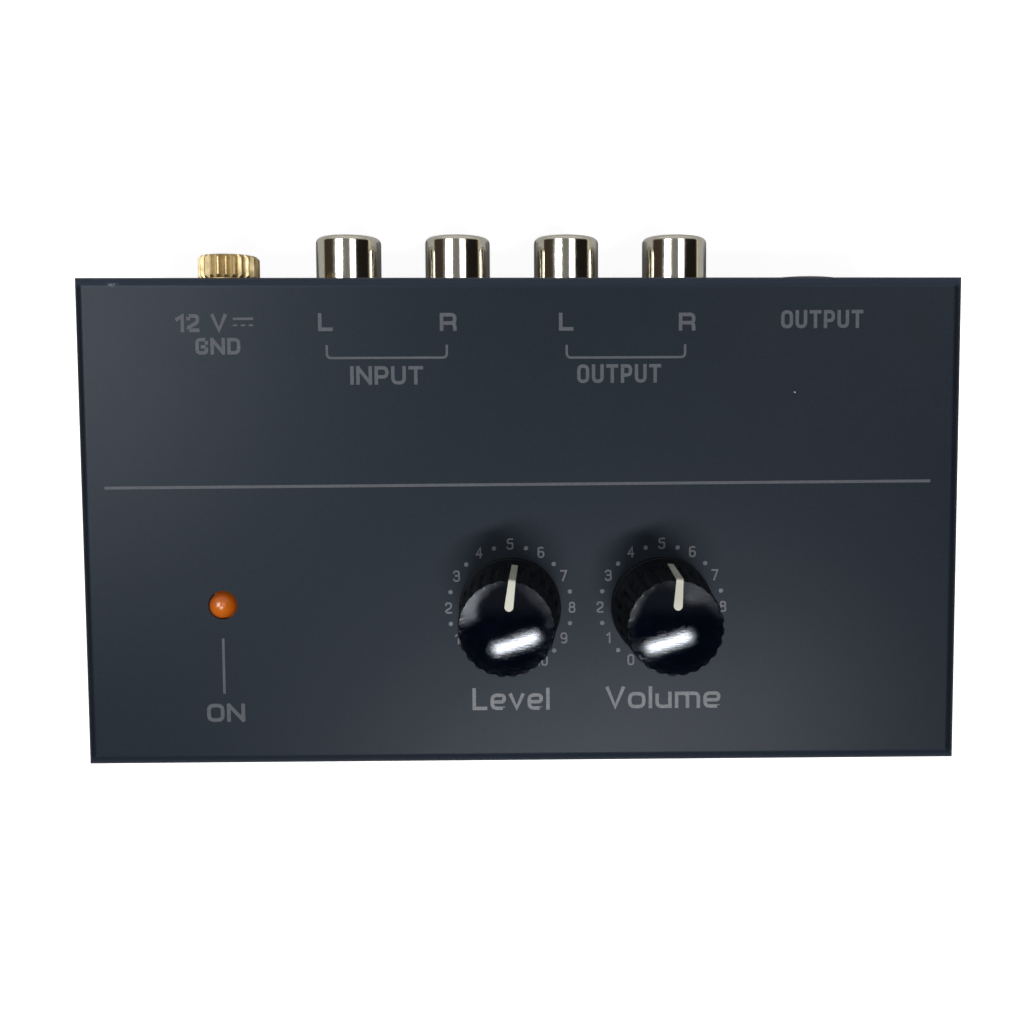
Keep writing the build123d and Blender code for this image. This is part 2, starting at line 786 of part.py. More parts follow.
def control(name, x, clockwise):
    """One rotary control: potentiometer, shaft, fluted knob and its pointer."""
    middle = upward(x, control_y, board_top)
    cavity_floor = board_top + pot_floor
    frame_top = pot_top + frame_thickness
    terminal_rows = (control_y - pot_depth / 2 - terminal_thickness, control_y + pot_depth / 2)

    with BuildPart() as case:
        block(
            (x - pot_width / 2, control_y - pot_depth / 2, board_top),
            (x + pot_width / 2, control_y + pot_depth / 2, pot_top),
        )
        rod(middle.offset(pot_floor), pot_cavity_radius, pot_height - pot_floor, Mode.SUBTRACT)
    save(case, f"{name}_pot_case")

    with BuildPart() as track:
        rod(middle.offset(pot_floor), pot_cavity_radius, track_thickness)
        rod(middle.offset(pot_floor), track_hole_radius, track_thickness, Mode.SUBTRACT)
    save(track, f"{name}_pot_track")

    with BuildPart() as frame:
        block(
            (x - pot_width / 2 - frame_thickness, control_y - pot_depth / 2, pot_top),
            (x + pot_width / 2 + frame_thickness, control_y + pot_depth / 2, frame_top),
        )
        for side in (-1, 1):
            leg_x = x + side * (pot_width + frame_thickness) / 2
            block(
                (leg_x - frame_thickness / 2, control_y - frame_leg_width / 2, board_top),
                (leg_x + frame_thickness / 2, control_y + frame_leg_width / 2, pot_top),
            )
        rod(upward(x, control_y, frame_top), bushing_radius, bushing_height)
        rod(
            upward(x, control_y, pot_top),
            shaft_radius + running_gap,
            frame_thickness + bushing_height,
            Mode.SUBTRACT,
        )
    save(frame, f"{name}_pot_frame")

    with BuildPart() as terminals:
        for row_y in terminal_rows:
            for step in (-1, 0, 1):
                pin_x = x + step * terminal_pitch
                block(
                    (pin_x - terminal_width / 2, row_y, tail_z),
                    (pin_x + terminal_width / 2, row_y + terminal_thickness, board_top + terminal_rise),
                )
    save(terminals, f"{name}_pot_terminals")

    rotor_z = cavity_floor + track_thickness + rotor_gap
    flat_z = shaft_top_z - shaft_flat_length
    turned = Plane(origin=(x, control_y, 0), x_dir=(cos(radians(clockwise)), -sin(radians(clockwise)), 0))
    with BuildPart() as shaft:
        rod(upward(x, control_y, rotor_z), rotor_radius, rotor_thickness)
        rod(upward(x, control_y, rotor_z), shaft_radius, flat_z - rotor_z)
        with BuildSketch(turned.offset(flat_z)) as section:
            shaft_section(0)
        extrude(section.sketch, amount=shaft_flat_length)
    save(shaft, f"{name}_shaft")

    seat = turned.offset(knob_base_z)
    turning_axis = Axis(seat.origin, seat.z_dir)
    with BuildPart() as pointer:
        revolve(grip_profile(seat, pointer_proud), axis=turning_axis)
        revolve(grip_profile(seat, -pointer_inset), axis=turning_axis, mode=Mode.SUBTRACT)
        extrude(pointer_outline(seat.offset(pointer_foot)), amount=knob_height, mode=Mode.INTERSECT)
    save(pointer, f"{name}_pointer")

    with BuildPart() as knob:
        revolve(grip_profile(seat, 0), axis=turning_axis)
        turn(
            seat,
            [
                (0, 0),
                (skirt_radius - skirt_edge, 0),
                (skirt_radius, skirt_edge),
                (skirt_radius, skirt_height - skirt_edge),
                (skirt_radius - skirt_edge, skirt_height),
                (0, skirt_height),
            ],
        )
        with BuildSketch(seat.offset(flute_start)):
            first_flute = 90 + 180 / flute_count
            flute_orbit = rim_radius + flute_radius - flute_depth
            with PolarLocations(flute_orbit, flute_count, start_angle=first_flute):
                Circle(flute_radius)
        extrude(amount=knob_height - flute_start, mode=Mode.SUBTRACT)
        with BuildSketch(seat) as bore:
            shaft_section(knob_bore_gap)
        extrude(bore.sketch, amount=knob_bore_depth, mode=Mode.SUBTRACT)
        rod(seat, shaft_radius + knob_bore_gap, flat_z - knob_base_z, Mode.SUBTRACT)
        add(pointer.part, mode=Mode.SUBTRACT)
    save(knob, f"{name}_knob")

    return [
        (x + step * terminal_pitch, row_y + terminal_thickness / 2)
        for row_y in terminal_rows
        for step in (-1, 0, 1)
    ]


level_pins = control("level", level_x, level_angle)
volume_pins = control("volume", volume_x, volume_angle)

# ------------------------------------------------------------------ power indicator
with BuildPart() as led_lens:
    led_seat = upward(column_x, led_y, led_base_z)
    rod(led_seat, led_flange_radius, led_flange)
    with BuildSketch(half_plane(led_seat)) as led_profile:
        led_shoulder = led_flange + led_body
        with BuildLine():
            Polyline(
                (0, led_shoulder + led_radius),
                (0, 0),
                (led_radius, 0),
                (led_radius, led_shoulder),
            )
            CenterArc((0, led_shoulder), led_radius, 0, 90)
        make_face()
    revolve(led_profile.sketch, axis=Axis(led_seat.origin, led_seat.z_dir))
save(led_lens, "led_lens")

led_lead_x = [column_x - led_lead_pitch / 2, column_x + led_lead_pitch / 2]
with BuildPart() as led_leads:
    for x in led_lead_x:
        block(
            (x - led_lead / 2, led_y - led_lead / 2, tail_z),
            (x + led_lead / 2, led_y + led_lead / 2, led_base_z),
        )
save(led_leads, "led_leads")

with BuildPart() as led_spacer:
    rod(upward(column_x, led_y, board_top), led_spacer_radius, led_base_z - board_top)
    for x in led_lead_x:
        lead_room = led_lead / 2 + led_spacer_gap
        block(
            (x - lead_room, led_y - lead_room, board_top),
            (x + lead_room, led_y + lead_room, led_base_z),
            Mode.SUBTRACT,
        )
save(led_spacer, "led_spacer")

# ------------------------------------------------------------------ small parts on the board
def spread(widths, low, high):
    """Centres of pieces of these widths, set between two limits with equal gaps."""
    gap = (high - low - sum(widths)) / (len(widths) + 1)
    return [low + gap * (n + 1) + sum(widths[:n]) + widths[n] / 2 for n in range(len(widths))]


can_width = 2 * can_radius
chip_span = chip_pin_row + chip_pin_width
resistor_width = 2 * resistor_radius
pot_half = pot_width / 2 + frame_thickness
block_front_y = inner_rear_y - block_depth
pot_rear_y = control_y + pot_depth / 2 + terminal_thickness
screw_front_y = front_spacer_y + screw_head_radius

film_x, chip_x, can_x = spread(
    [film_length, chip_length, can_width], column_x + led_spacer_radius, level_x - pot_half
)
middle_x = (level_x + volume_x) / 2
chip_rows = spread(
    [resistor_width, chip_span, resistor_width, resistor_width, chip_span, resistor_width],
    board_front_y,
    block_front_y,
)
film_rows = spread([film_width] * long_row_count, screw_front_y, block_front_y)
can_rows = spread([can_width] * long_row_count, screw_front_y, block_front_y)
rear_can_rows = spread([can_width] * short_row_count, pot_rear_y, block_front_y)
rear_resistor_rows = spread([resistor_width] * long_row_count, pot_rear_y, block_front_y)
right_can_rows = spread([can_width] * short_row_count, screw_front_y, phone_front_y)
right_limit_x = side_spacer_x - screw_head_radius
right_can_columns = spread([can_width] * short_row_count, volume_x + pot_half, right_limit_x)
diode_y, regulator_y = spread([resistor_width, regulator_depth], led_y + led_spacer_radius, power_tab_y)

chip_places = [(chip_x, chip_rows[1]), (chip_x, chip_rows[4])]
film_places = [(film_x, y) for y in film_rows]
can_places = [(can_x, y) for y in can_rows]
can_places += [(x, y) for x in (level_x, volume_x) for y in rear_can_rows]
can_places += [(x, y) for x in right_can_columns for y in right_can_rows]
resistor_places = [(chip_x, chip_rows[n]) for n in (0, 2, 3, 5)]
resistor_places += [(middle_x, y) for y in rear_resistor_rows]

chip_pins = []
with BuildPart() as op_amps:
    for x, y in chip_places:
        block(
            (x - chip_length / 2, y - chip_width / 2, board_top + chip_lift),
            (x + chip_length / 2, y + chip_width / 2, board_top + chip_lift + chip_height),
        )
        for side in (-1, 1):
            for step in (-1.5, -0.5, 0.5, 1.5):
                chip_pins.append((x + step * chip_pin_pitch, y + side * chip_pin_row / 2, side))
save(op_amps, "op_amps")

chip_shoulder_z = board_top + chip_lift + chip_height / 2
with BuildPart() as op_amp_pins:
    for x, y, side in chip_pins:
        body_y = y - side * (chip_pin_row - chip_width) / 2
        outer_y = y + side * chip_pin_width / 2
        block(
            (x - chip_pin_width / 2, min(body_y, outer_y), chip_shoulder_z),
            (x + chip_pin_width / 2, max(body_y, outer_y), chip_shoulder_z + lead_radius),
        )
        block(
            (x - chip_pin_width / 2, y - chip_pin_width / 2, tail_z),
            (x + chip_pin_width / 2, y + chip_pin_width / 2, chip_shoulder_z),
        )
save(op_amp_pins, "op_amp_pins")

with BuildPart() as electrolytic_capacitors:
    for x, y in can_places:
        turn(
            upward(x, y, board_top),
            [
                (0, 0),
                (can_radius, 0),
                (can_radius, can_neck),
                (can_radius - can_groove, can_neck + can_groove),
                (can_radius, can_neck + 2 * can_groove),
                (can_radius, can_height - can_groove),
                (can_radius - can_groove, can_height),
                (0, can_height),
            ],
        )
save(electrolytic_capacitors, "electrolytic_capacitors")

with BuildPart() as film_capacitors:
    for x, y in film_places:
        block(
            (x - film_length / 2, y - film_width / 2, board_top),
            (x + film_length / 2, y + film_width / 2, board_top + film_height),
        )
save(film_capacitors, "film_capacitors")


def axial_part(x, y, length):
    """Round body with swollen ends, lying over the board on leads that turn down into it."""
    axis_z = board_top + resistor_radius + body_lift
    end_x = resistor_span / 2
    with BuildLine() as lead_path:
        FilletPolyline(
            (x - end_x, y, tail_z),
            (x - end_x, y, axis_z),
            (x + end_x, y, axis_z),
            (x + end_x, y, tail_z),
            radius=lead_bend,
        )
    with BuildSketch(upward(x - end_x, y, tail_z)) as lead_section:
        Circle(lead_radius)
    sweep(lead_section.sketch, path=lead_path.line)
    swell = length / 4
    waist = resistor_radius - lead_radius / 2
    turn(
        Plane(origin=(x - length / 2, y, axis_z), x_dir=(0, 1, 0), z_dir=(1, 0, 0)),
        [
            (0, 0),
            (resistor_radius, 0),
            (resistor_radius, swell),
            (waist, swell + lead_radius),
            (waist, length - swell - lead_radius),
            (resistor_radius, length - swell),
            (resistor_radius, length),
            (0, length),
        ],
    )


with BuildPart() as resistors:
    for x, y in resistor_places:
        axial_part(x, y, resistor_length)
save(resistors, "resistors")

with BuildPart() as input_diode:
    axial_part(column_x, diode_y, diode_length)
save(input_diode, "input_diode")

regulator_pin_x = [column_x + step * regulator_pin_pitch for step in (-1, 0, 1)]
with BuildPart() as voltage_regulator:
    with BuildSketch(upward(column_x, regulator_y, board_top + regulator_lift)) as regulator_section:
        Circle(regulator_width / 2)
        with Locations((0, regulator_depth)):
            Rectangle(2 * regulator_width, regulator_width, mode=Mode.SUBTRACT)
    extrude(regulator_section.sketch, amount=regulator_height)
    for x in regulator_pin_x:
        block(
            (x - chip_pin_width / 2, regulator_y - chip_pin_width / 2, tail_z),
            (x + chip_pin_width / 2, regulator_y + chip_pin_width / 2, board_top + regulator_lift),
        )
save(voltage_regulator, "voltage_regulator")

# ------------------------------------------------------------------ circuit board
pin_places = list(level_pins) + list(volume_pins)
for jack_x in input_x + output_x:
    pin_places.append((jack_x, signal_tab_y + tab_thickness / 2))
    pin_places.append((jack_x, ground_tab_y - tab_thickness / 2))
for side, spring_y in ((-1, phone_tip_y), (1, phone_ring_y)):
    slot_x = phone_jack_x + side * (phone_cavity_half - spring_thickness / 2)
    pin_places.append((slot_x, spring_y + spring_reach - tab_width / 2))
pin_places.append((column_x, power_tab_y + tab_thickness / 2))
pin_places += [(x, led_y) for x in led_lead_x]
pin_places += [(x, y) for x, y, side in chip_pins]
for x, y in resistor_places + [(column_x, diode_y)]:
    pin_places += [(x - resistor_span / 2, y), (x + resistor_span / 2, y)]
pin_places += [(x, regulator_y) for x in regulator_pin_x]

with BuildPart() as circuit_board:
    with BuildSketch(Plane.XY.offset(board_bottom)):
        with Locations((0, (board_front_y + board_rear_y) / 2)):
            Rectangle(2 * board_half, board_rear_y - board_front_y)
        with Locations(*spacer_places):
            Circle(screw_hole_radius, mode=Mode.SUBTRACT)
        with Locations(*pin_places):
            Circle(pin_hole_radius, mode=Mode.SUBTRACT)
        with Locations((leaf_x + power_leaf_thickness / 2, power_bore_end_y + power_leaf_width / 2)):
            Circle(power_leaf_width / 2 + pin_clearance, mode=Mode.SUBTRACT)
    extrude(amount=board_thickness)
save(circuit_board, "circuit_board")
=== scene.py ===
"""Looks of a small desktop phono preamplifier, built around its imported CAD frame.

Lengths are in metres, as the frame gives them; MM turns a size in millimetres into metres.
"""

import json
import math

import bmesh
import bpy
from mathutils import Euler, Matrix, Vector
from mathutils.geometry import delaunay_2d_cdt

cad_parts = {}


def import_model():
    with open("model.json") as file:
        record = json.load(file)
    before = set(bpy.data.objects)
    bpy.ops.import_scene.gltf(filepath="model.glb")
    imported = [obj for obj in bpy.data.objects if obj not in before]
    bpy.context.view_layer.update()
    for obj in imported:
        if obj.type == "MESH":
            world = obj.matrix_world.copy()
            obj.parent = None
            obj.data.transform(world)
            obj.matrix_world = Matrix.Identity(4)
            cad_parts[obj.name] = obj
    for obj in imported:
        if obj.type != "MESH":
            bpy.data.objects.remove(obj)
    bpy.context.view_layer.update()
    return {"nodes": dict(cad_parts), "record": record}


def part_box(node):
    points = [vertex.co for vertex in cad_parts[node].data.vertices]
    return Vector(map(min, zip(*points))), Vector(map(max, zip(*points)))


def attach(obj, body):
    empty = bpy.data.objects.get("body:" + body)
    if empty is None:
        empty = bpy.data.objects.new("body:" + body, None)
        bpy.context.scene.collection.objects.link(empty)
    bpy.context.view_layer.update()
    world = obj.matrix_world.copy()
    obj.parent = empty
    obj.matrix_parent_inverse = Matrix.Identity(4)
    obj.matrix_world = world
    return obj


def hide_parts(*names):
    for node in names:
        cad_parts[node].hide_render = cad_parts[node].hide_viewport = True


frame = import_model()

MM = 0.001
CHASSIS = "chassis"

# ------------------------------------------------------------------ places taken from the frame
cover_low, cover_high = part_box("top_cover")
face_z = cover_high[2]
mid_x = (cover_low[0] + cover_high[0]) / 2
mid_y = (cover_low[1] + cover_high[1]) / 2


def middle(node):
    """Centre of a CAD node's box."""
    low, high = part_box(node)
    return Vector([(a + b) / 2 for a, b in zip(low, high)])


def top_middle(node):
    """Centre of the top of a CAD node's box."""
    centre = middle(node)
    centre.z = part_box(node)[1][2]
    return centre


def on_face(x, y):
    """Point on the top face, x and y in millimetres from its centre."""
    return Vector((mid_x + x * MM, mid_y + y * MM, face_z))


# ------------------------------------------------------------------ material helpers
def srgb(red, green, blue):
    """Linear colour from 0 to 255 screen values."""

    def linear(value):
        value /= 255
        return value / 12.92 if value <= 0.04045 else ((value + 0.055) / 1.055) ** 2.4

    return (linear(red), linear(green), linear(blue), 1.0)


def shade(color, factor):
    """A colour made darker or lighter by a factor."""
    return [min(1.0, channel * factor) for channel in color[:3]] + [1.0]


class Finish:
    """A material under construction: one Principled shader and the nodes that feed it."""

    def __init__(self, name, color, roughness, metallic=0.0, specular=0.5):
        self.material = bpy.data.materials.new(name)
        self.material.use_nodes = True
        self.tree = self.material.node_tree
        self.shader = self.tree.nodes["Principled BSDF"]
        self.fix(Base_Color=color, Roughness=roughness, Metallic=metallic, Specular_IOR_Level=specular)
        self.coords = self.tree.nodes.new("ShaderNodeTexCoord").outputs["Object"]
        self.height = None

    def node(self, kind, inputs=None, **settings):
        """Add a node, set its properties, and link or fill its inputs."""
        made = self.tree.nodes.new(kind)
        for key, value in settings.items():
            setattr(made, key, value)
        for key, value in (inputs or {}).items():
            if isinstance(value, bpy.types.NodeSocket):
                self.tree.links.new(value, made.inputs[key])
            else:
                made.inputs[key].default_value = value
        return made

    def fix(self, **values):
        """Set sockets of the shader to constants, named with underscores for spaces."""
        for key, value in values.items():
            self.shader.inputs[key.replace("_", " ")].default_value = value

    def set(self, **links):
        """Link sockets of the shader, named with underscores for spaces."""
        for key, value in links.items():
            self.tree.links.new(value, self.shader.inputs[key.replace("_", " ")])

    def stretched(self, scale):
        """Object coordinates stretched along the axes."""
        return self.node("ShaderNodeMapping", {"Vector": self.coords, "Scale": scale}).outputs[0]

    def noise(self, size, detail=3.0, coords=None, rough=0.5):
        """Noise whose grains measure about size, in metres."""
        inputs = {"Vector": coords or self.coords, "Scale": 1 / size, "Detail": detail, "Roughness": rough}
        return self.node("ShaderNodeTexNoise", inputs).outputs["Fac"]

    def ramp(self, value, low, high, low_out=0.0, high_out=1.0):
        """Value mapped from one range to another, clamped."""
        inputs = {"Value": value, "From Min": low, "From Max": high, "To Min": low_out, "To Max": high_out}
        return self.node("ShaderNodeMapRange", inputs).outputs["Result"]

    def math(self, operation, first, second=0.0):
        """One math node."""
        return self.node("ShaderNodeMath", {0: first, 1: second}, operation=operation).outputs[0]

    def larger(self, first, second):
        """The larger of two values, of which the first may be None."""
        return second if first is None else self.math("MAXIMUM", first, second)

    def offset(self, centre):
        """Vector from a point to each place on the surface."""
        return self.node("ShaderNodeVectorMath", {0: self.coords, 1: centre}, operation="SUBTRACT").outputs[0]

    def length(self, vector):
        """Length of a vector."""
        return self.node("ShaderNodeVectorMath", {0: vector}, operation="LENGTH").outputs["Value"]

    def mix(self, share, first, second):
        """Colour mixed from first to second by share."""
        inputs = {"Factor": share, "A": first, "B": second}
        made = self.node("ShaderNodeMix", data_type="RGBA")
        for key, value in inputs.items():
            socket = [s for s in made.inputs if s.name == key and s.type in ("RGBA", "VALUE")]
            socket = [s for s in socket if (s.type == "VALUE") == (key == "Factor")][0]
            if isinstance(value, bpy.types.NodeSocket):
                self.tree.links.new(value, socket)
            else:
                socket.default_value = value
        return [s for s in made.outputs if s.type == "RGBA"][0]

    def bump(self, value, depth, strength=1.0):
        """Raise the surface by value times depth, in metres, on top of earlier bumps."""
        inputs = {"Height": value, "Distance": depth, "Strength": strength}
        if self.height is not None:
            inputs["Normal"] = self.height
        self.height = self.node("ShaderNodeBump", inputs).outputs["Normal"]
        self.set(Normal=self.height)


# The part of a noise's range over which its clouds fade from one state to the other.
CLOUDED = (0.35, 0.7)

# Powder coat: the sizes of its pebbled grain, of the finer grain on it and of its mottling.
PAINT_GRAIN = 0.34 * MM
PAINT_FINE_GRAIN = 0.12 * MM
PAINT_MOTTLE = 7 * MM
PAINT_ROUGHNESS = (0.43, 0.49)
PAINT_GLOSS_TINT = (0.56, 0.75, 1.0, 1.0)
BARE_METAL = srgb(128, 130, 132)

# The cover's front and rear folds are painted paler: painted light, standing in for the light that these
# folds catch.
FOLD_PAINTED_LIGHT = 3.0
FOLD_REACH = 1.3 * MM
FRONT_SHARE = 0.5


def folds(finish):
    """Painted light on the cover's folds: 1 on its rear fold, less on its front fold, 0 elsewhere."""
    axes = finish.node("ShaderNodeSeparateXYZ", {0: finish.coords}).outputs
    near, far = cover_low[1], cover_high[1]
    rear = finish.ramp(axes["Y"], far - FOLD_REACH, far - FOLD_REACH / 2)
    front = finish.ramp(axes["Y"], near + FOLD_REACH / 2, near + FOLD_REACH, FRONT_SHARE, 0.0)
    upper = finish.ramp(axes["Z"], face_z - FOLD_REACH, face_z - FOLD_REACH / 2)
    return finish.math("MULTIPLY", finish.larger(rear, front), upper)


def powder_coat(name, color, chips=()):
    """Fine textured powder coat: pebbled grain, faint mottling, chips down to the metal, and painted light
    that makes the cover's folds paler.
    """
    finish = Finish(name, color, 0.55, specular=0.1)
    finish.fix(Specular_Tint=PAINT_GLOSS_TINT, Coat_Weight=0.08, Coat_Roughness=0.28)
    grain = finish.noise(PAINT_GRAIN, detail=2.0, rough=0.6)
    fine = finish.noise(PAINT_FINE_GRAIN, detail=2.0)
    mottle = finish.noise(PAINT_MOTTLE, detail=5.0, rough=0.7)
    tint = finish.mix(finish.ramp(mottle, 0.35, 0.65), shade(color, 0.9), shade(color, 1.12))
    tint = finish.mix(finish.ramp(grain, 0.3, 0.72, 0.0, 0.6), tint, shade(color, 0.66))
    metal = None
    for centre, reach in chips:
        scaled = finish.node(
            "ShaderNodeVectorMath",
            {0: finish.offset(centre), 1: [1 / r for r in reach]},
            operation="MULTIPLY",
        ).outputs[0]
        ragged = finish.math("ADD", finish.length(scaled), finish.ramp(fine, 0.3, 0.7, -0.35, 0.35))
        metal = finish.larger(metal, finish.ramp(ragged, 0.75, 0.95, 1.0, 0.0))
    if metal is not None:
        tint = finish.mix(metal, tint, BARE_METAL)
        finish.set(Metallic=metal)
    # Painted light: the cover's folds are made paler, as if they catch more light.
    tint = finish.mix(folds(finish), tint, shade(color, FOLD_PAINTED_LIGHT))
    finish.set(Base_Color=tint, Roughness=finish.ramp(mottle, 0.3, 0.7, *PAINT_ROUGHNESS))
    finish.bump(grain, 0.03 * MM, 0.45)
    finish.bump(fine, 0.01 * MM, 0.4)
    return finish.material


def ink(name, color):
    """Screen-printed ink, a little uneven where the coat's grain shows through."""
    finish = Finish(name, color, 0.6, specular=0.3)
    worn = finish.noise(0.25 * MM, detail=3.0, rough=0.7)
    patch = finish.noise(2.5 * MM, detail=2.0)
    darker = shade(color, 0.62)
    tint = finish.mix(finish.ramp(worn, 0.35, 0.75), color, darker)
    tint = finish.mix(finish.ramp(patch, 0.4, 0.7, 0.0, 0.35), tint, darker)
    finish.set(Base_Color=tint)
    finish.bump(worn, 0.012 * MM, 0.5)
    return finish.material


def moulded(name, color, roughness, grain=0.2, depth=0.006, specular=0.5):
    """Moulded plastic with a soft orange-peel surface; grain and depth are in millimetres."""
    finish = Finish(name, color, roughness, specular=specular)
    peel = finish.noise(grain * MM, detail=2.0)
    cloud = finish.noise(4 * MM, detail=3.0)
    finish.set(Base_Color=finish.mix(finish.ramp(cloud, *CLOUDED), color, shade(color, 0.78)))
    finish.set(Roughness=finish.ramp(cloud, 0.3, 0.7, roughness * 0.85, min(1.0, roughness * 1.2)))
    finish.bump(peel, depth * MM, 0.4)
    return finish.material


def plated(name, color, roughness, brushed=(1, 1, 1), tarnish=0.25):
    """Plated or turned metal with fine tool marks and light tarnish.

    Brushed scales the marks along X, Y and Z: a factor below 1 draws them out that way.
    """
    finish = Finish(name, color, roughness, metallic=1.0)
    marks = finish.noise(0.12 * MM, detail=3.0, coords=finish.stretched(brushed))
    stain = finish.noise(1.6 * MM, detail=4.0, rough=0.7)
    finish.set(Base_Color=finish.mix(finish.ramp(stain, 0.42, 0.75), color, shade(color, 1 - tarnish)))
    finish.set(Roughness=finish.ramp(stain, 0.3, 0.75, roughness * 0.8, min(1.0, roughness * 1.6)))
    finish.bump(marks, 0.004 * MM, 0.35)
    return finish.material


def laminate(name):
    """Glass-fibre board under a green solder mask, with the weave just showing."""
    color = srgb(24, 78, 46)
    finish = Finish(name, color, 0.32)
    threads = {"Vector": finish.coords, "Scale": 1 / (0.6 * MM), "Color1": color, "Color2": srgb(28, 88, 52)}
    weave = finish.node("ShaderNodeTexChecker", threads).outputs["Color"]
    cloud = finish.noise(6 * MM, detail=3.0)
    finish.set(Base_Color=finish.mix(finish.ramp(cloud, *CLOUDED), weave, srgb(18, 62, 38)))
    finish.bump(cloud, 0.01 * MM, 0.3)
    return finish.material


# A knob's polished top is rubbed more and more between these distances from its middle.
RUBBED_FROM = 3.7 * MM
RUBBED_TO = 4.9 * MM
# No place further from the middle than this belongs to the same knob.
KNOB_REACH = 6 * MM
# Its rear half is scratched more deeply, fading in between these places behind the middle.
REAR_FROM = -0.5 * MM
REAR_TO = 1.5 * MM


def knob_gloss(name):
    """Polished near-black top: a mirror in the middle, rubbed and finely scratched towards its edge."""
    finish = Finish(name, srgb(4, 7, 17), 0.05, specular=0.32)
    finish.fix(Specular_Tint=(0.86, 0.92, 1.0, 1.0))
    edge = None
    rear = None
    for node in ("level_knob", "volume_knob"):
        offset = finish.offset(top_middle(node))
        length = finish.length(offset)
        inside = finish.math("LESS_THAN", length, KNOB_REACH)
        share = finish.math("MULTIPLY", finish.ramp(length, RUBBED_FROM, RUBBED_TO), inside)
        edge = finish.larger(edge, share)
        side = finish.node("ShaderNodeSeparateXYZ", {0: offset}).outputs["Y"]
        share = finish.math("MULTIPLY", share, finish.ramp(side, REAR_FROM, REAR_TO))
        rear = finish.larger(rear, share)
    scratches = finish.noise(0.24 * MM, detail=5.0, rough=0.75, coords=finish.stretched((0.3, 1.4, 1)))
    smear = finish.noise(1.4 * MM, detail=4.0, rough=0.7)
    fuzz = finish.ramp(scratches, 0.46, 0.66, 0.012, 0.06)
    worn = finish.ramp(scratches, 0.42, 0.6, 0.02, 0.2)
    finish.set(Roughness=finish.mix(edge, fuzz, worn))
    finish.set(Base_Color=finish.mix(finish.ramp(smear, 0.4, 0.8), srgb(3, 6, 15), srgb(7, 11, 27)))
    finish.bump(scratches, 0.007 * MM, 0.7)
    finish.bump(finish.math("MULTIPLY", scratches, rear), 0.017 * MM, 0.9)
    return finish.material


def knob_satin(name):
    """Near-black satin side of a knob."""
    finish = Finish(name, srgb(7, 9, 14), 0.5, specular=0.1)
    cloud = finish.noise(1.5 * MM, detail=4.0, rough=0.7)
    finish.set(Base_Color=finish.mix(finish.ramp(cloud, *CLOUDED), srgb(5, 6, 11), srgb(11, 13, 18)))
    finish.set(Roughness=finish.ramp(cloud, 0.3, 0.7, 0.35, 0.55))
    finish.bump(cloud, 0.004 * MM, 0.4)
    return finish.material


def lamp_lens(name):
    """Tinted lens: orange with a paler heart that seems lit from within."""
    finish = Finish(name, srgb(206, 98, 14), 0.27)
    distance = finish.length(finish.offset(top_middle("led_lens")))
    heart = finish.ramp(distance, 0.2 * MM, 1.5 * MM, 1.0, 0.0)
    cloud = finish.noise(0.5 * MM, detail=3.0)
    tint = finish.mix(heart, srgb(186, 88, 8), srgb(206, 108, 18))
    tint = finish.mix(finish.ramp(cloud, 0.4, 0.8, 0.0, 0.3), tint, srgb(176, 72, 8))
    finish.set(Base_Color=tint, Emission_Color=tint)
    finish.fix(Emission_Strength=0.22, Coat_Weight=0.1)
    return finish.material


# ------------------------------------------------------------------ materials of the CAD pieces
# Two chips in the coat, as centre and reach: one on the rear fold and a speck on the face.
chip_centre = on_face(-47.4, 28.0)
chip_centre.z -= 0.35 * MM
speck_centre = on_face(32.2, 15.3)
CHIPS = [
    (chip_centre, (0.95 * MM, 0.45 * MM, 0.4 * MM)),
    (speck_centre, (0.13 * MM, 0.1 * MM, 0.13 * MM)),
]
FINISHES = {
    "case_paint": powder_coat("case_paint", srgb(27, 33, 42), CHIPS),
    "base_paint": powder_coat("base_paint", srgb(29, 34, 41)),
    "black_screw": plated("black_screw", srgb(46, 46, 48), 0.34, tarnish=0.4),
    "zinc_screw": plated("zinc_screw", srgb(196, 198, 200), 0.28),
    "spacer_metal": plated("spacer_metal", srgb(204, 198, 176), 0.3, brushed=(1, 1, 0.05)),
    "foot_rubber": moulded("foot_rubber", srgb(30, 30, 31), 0.78, grain=0.4, depth=0.03, specular=0.3),
    "knob_plastic": knob_gloss("knob_plastic"),
    "pointer_plastic": moulded("pointer_plastic", srgb(236, 236, 218), 0.42, grain=0.5),
    "shaft_metal": plated("shaft_metal", srgb(206, 206, 208), 0.3, brushed=(1, 1, 12)),
    "pot_body": moulded("pot_body", srgb(38, 48, 44), 0.5),
    "pot_track": moulded("pot_track", srgb(92, 62, 38), 0.6),
    "pot_frame": plated("pot_frame", srgb(200, 202, 204), 0.33),
    "tinned_metal": plated("tinned_metal", srgb(208, 208, 202), 0.35),
    "lamp_lens": lamp_lens("lamp_lens"),
    "lamp_spacer": moulded("lamp_spacer", srgb(36, 36, 36), 0.6),
    "jack_plastic": moulded("jack_plastic", srgb(24, 24, 26), 0.48),
    "jack_nickel": plated("jack_nickel", srgb(206, 201, 188), 0.09, tarnish=0.12),
    "white_insulator": moulded("white_insulator", srgb(226, 226, 220), 0.45),
    "red_insulator": moulded("red_insulator", srgb(178, 26, 22), 0.42),
    "contact_metal": plated("contact_metal", srgb(214, 190, 120), 0.24),
    "terminal_brass": plated("terminal_brass", srgb(182, 163, 124), 0.42, brushed=(1, 0.1, 1), tarnish=0.4),
    "wire_sleeve": moulded("wire_sleeve", srgb(30, 120, 50), 0.5),
    "board_laminate": laminate("board_laminate"),
    "chip_epoxy": moulded("chip_epoxy", srgb(28, 28, 29), 0.6, grain=0.08),
    "can_sleeve": moulded("can_sleeve", srgb(26, 28, 46), 0.3),
    "film_dip": moulded("film_dip", srgb(132, 34, 24), 0.3),
    "resistor_coat": moulded("resistor_coat", srgb(104, 148, 172), 0.35),
    "diode_epoxy": moulded("diode_epoxy", srgb(26, 26, 27), 0.5),
}
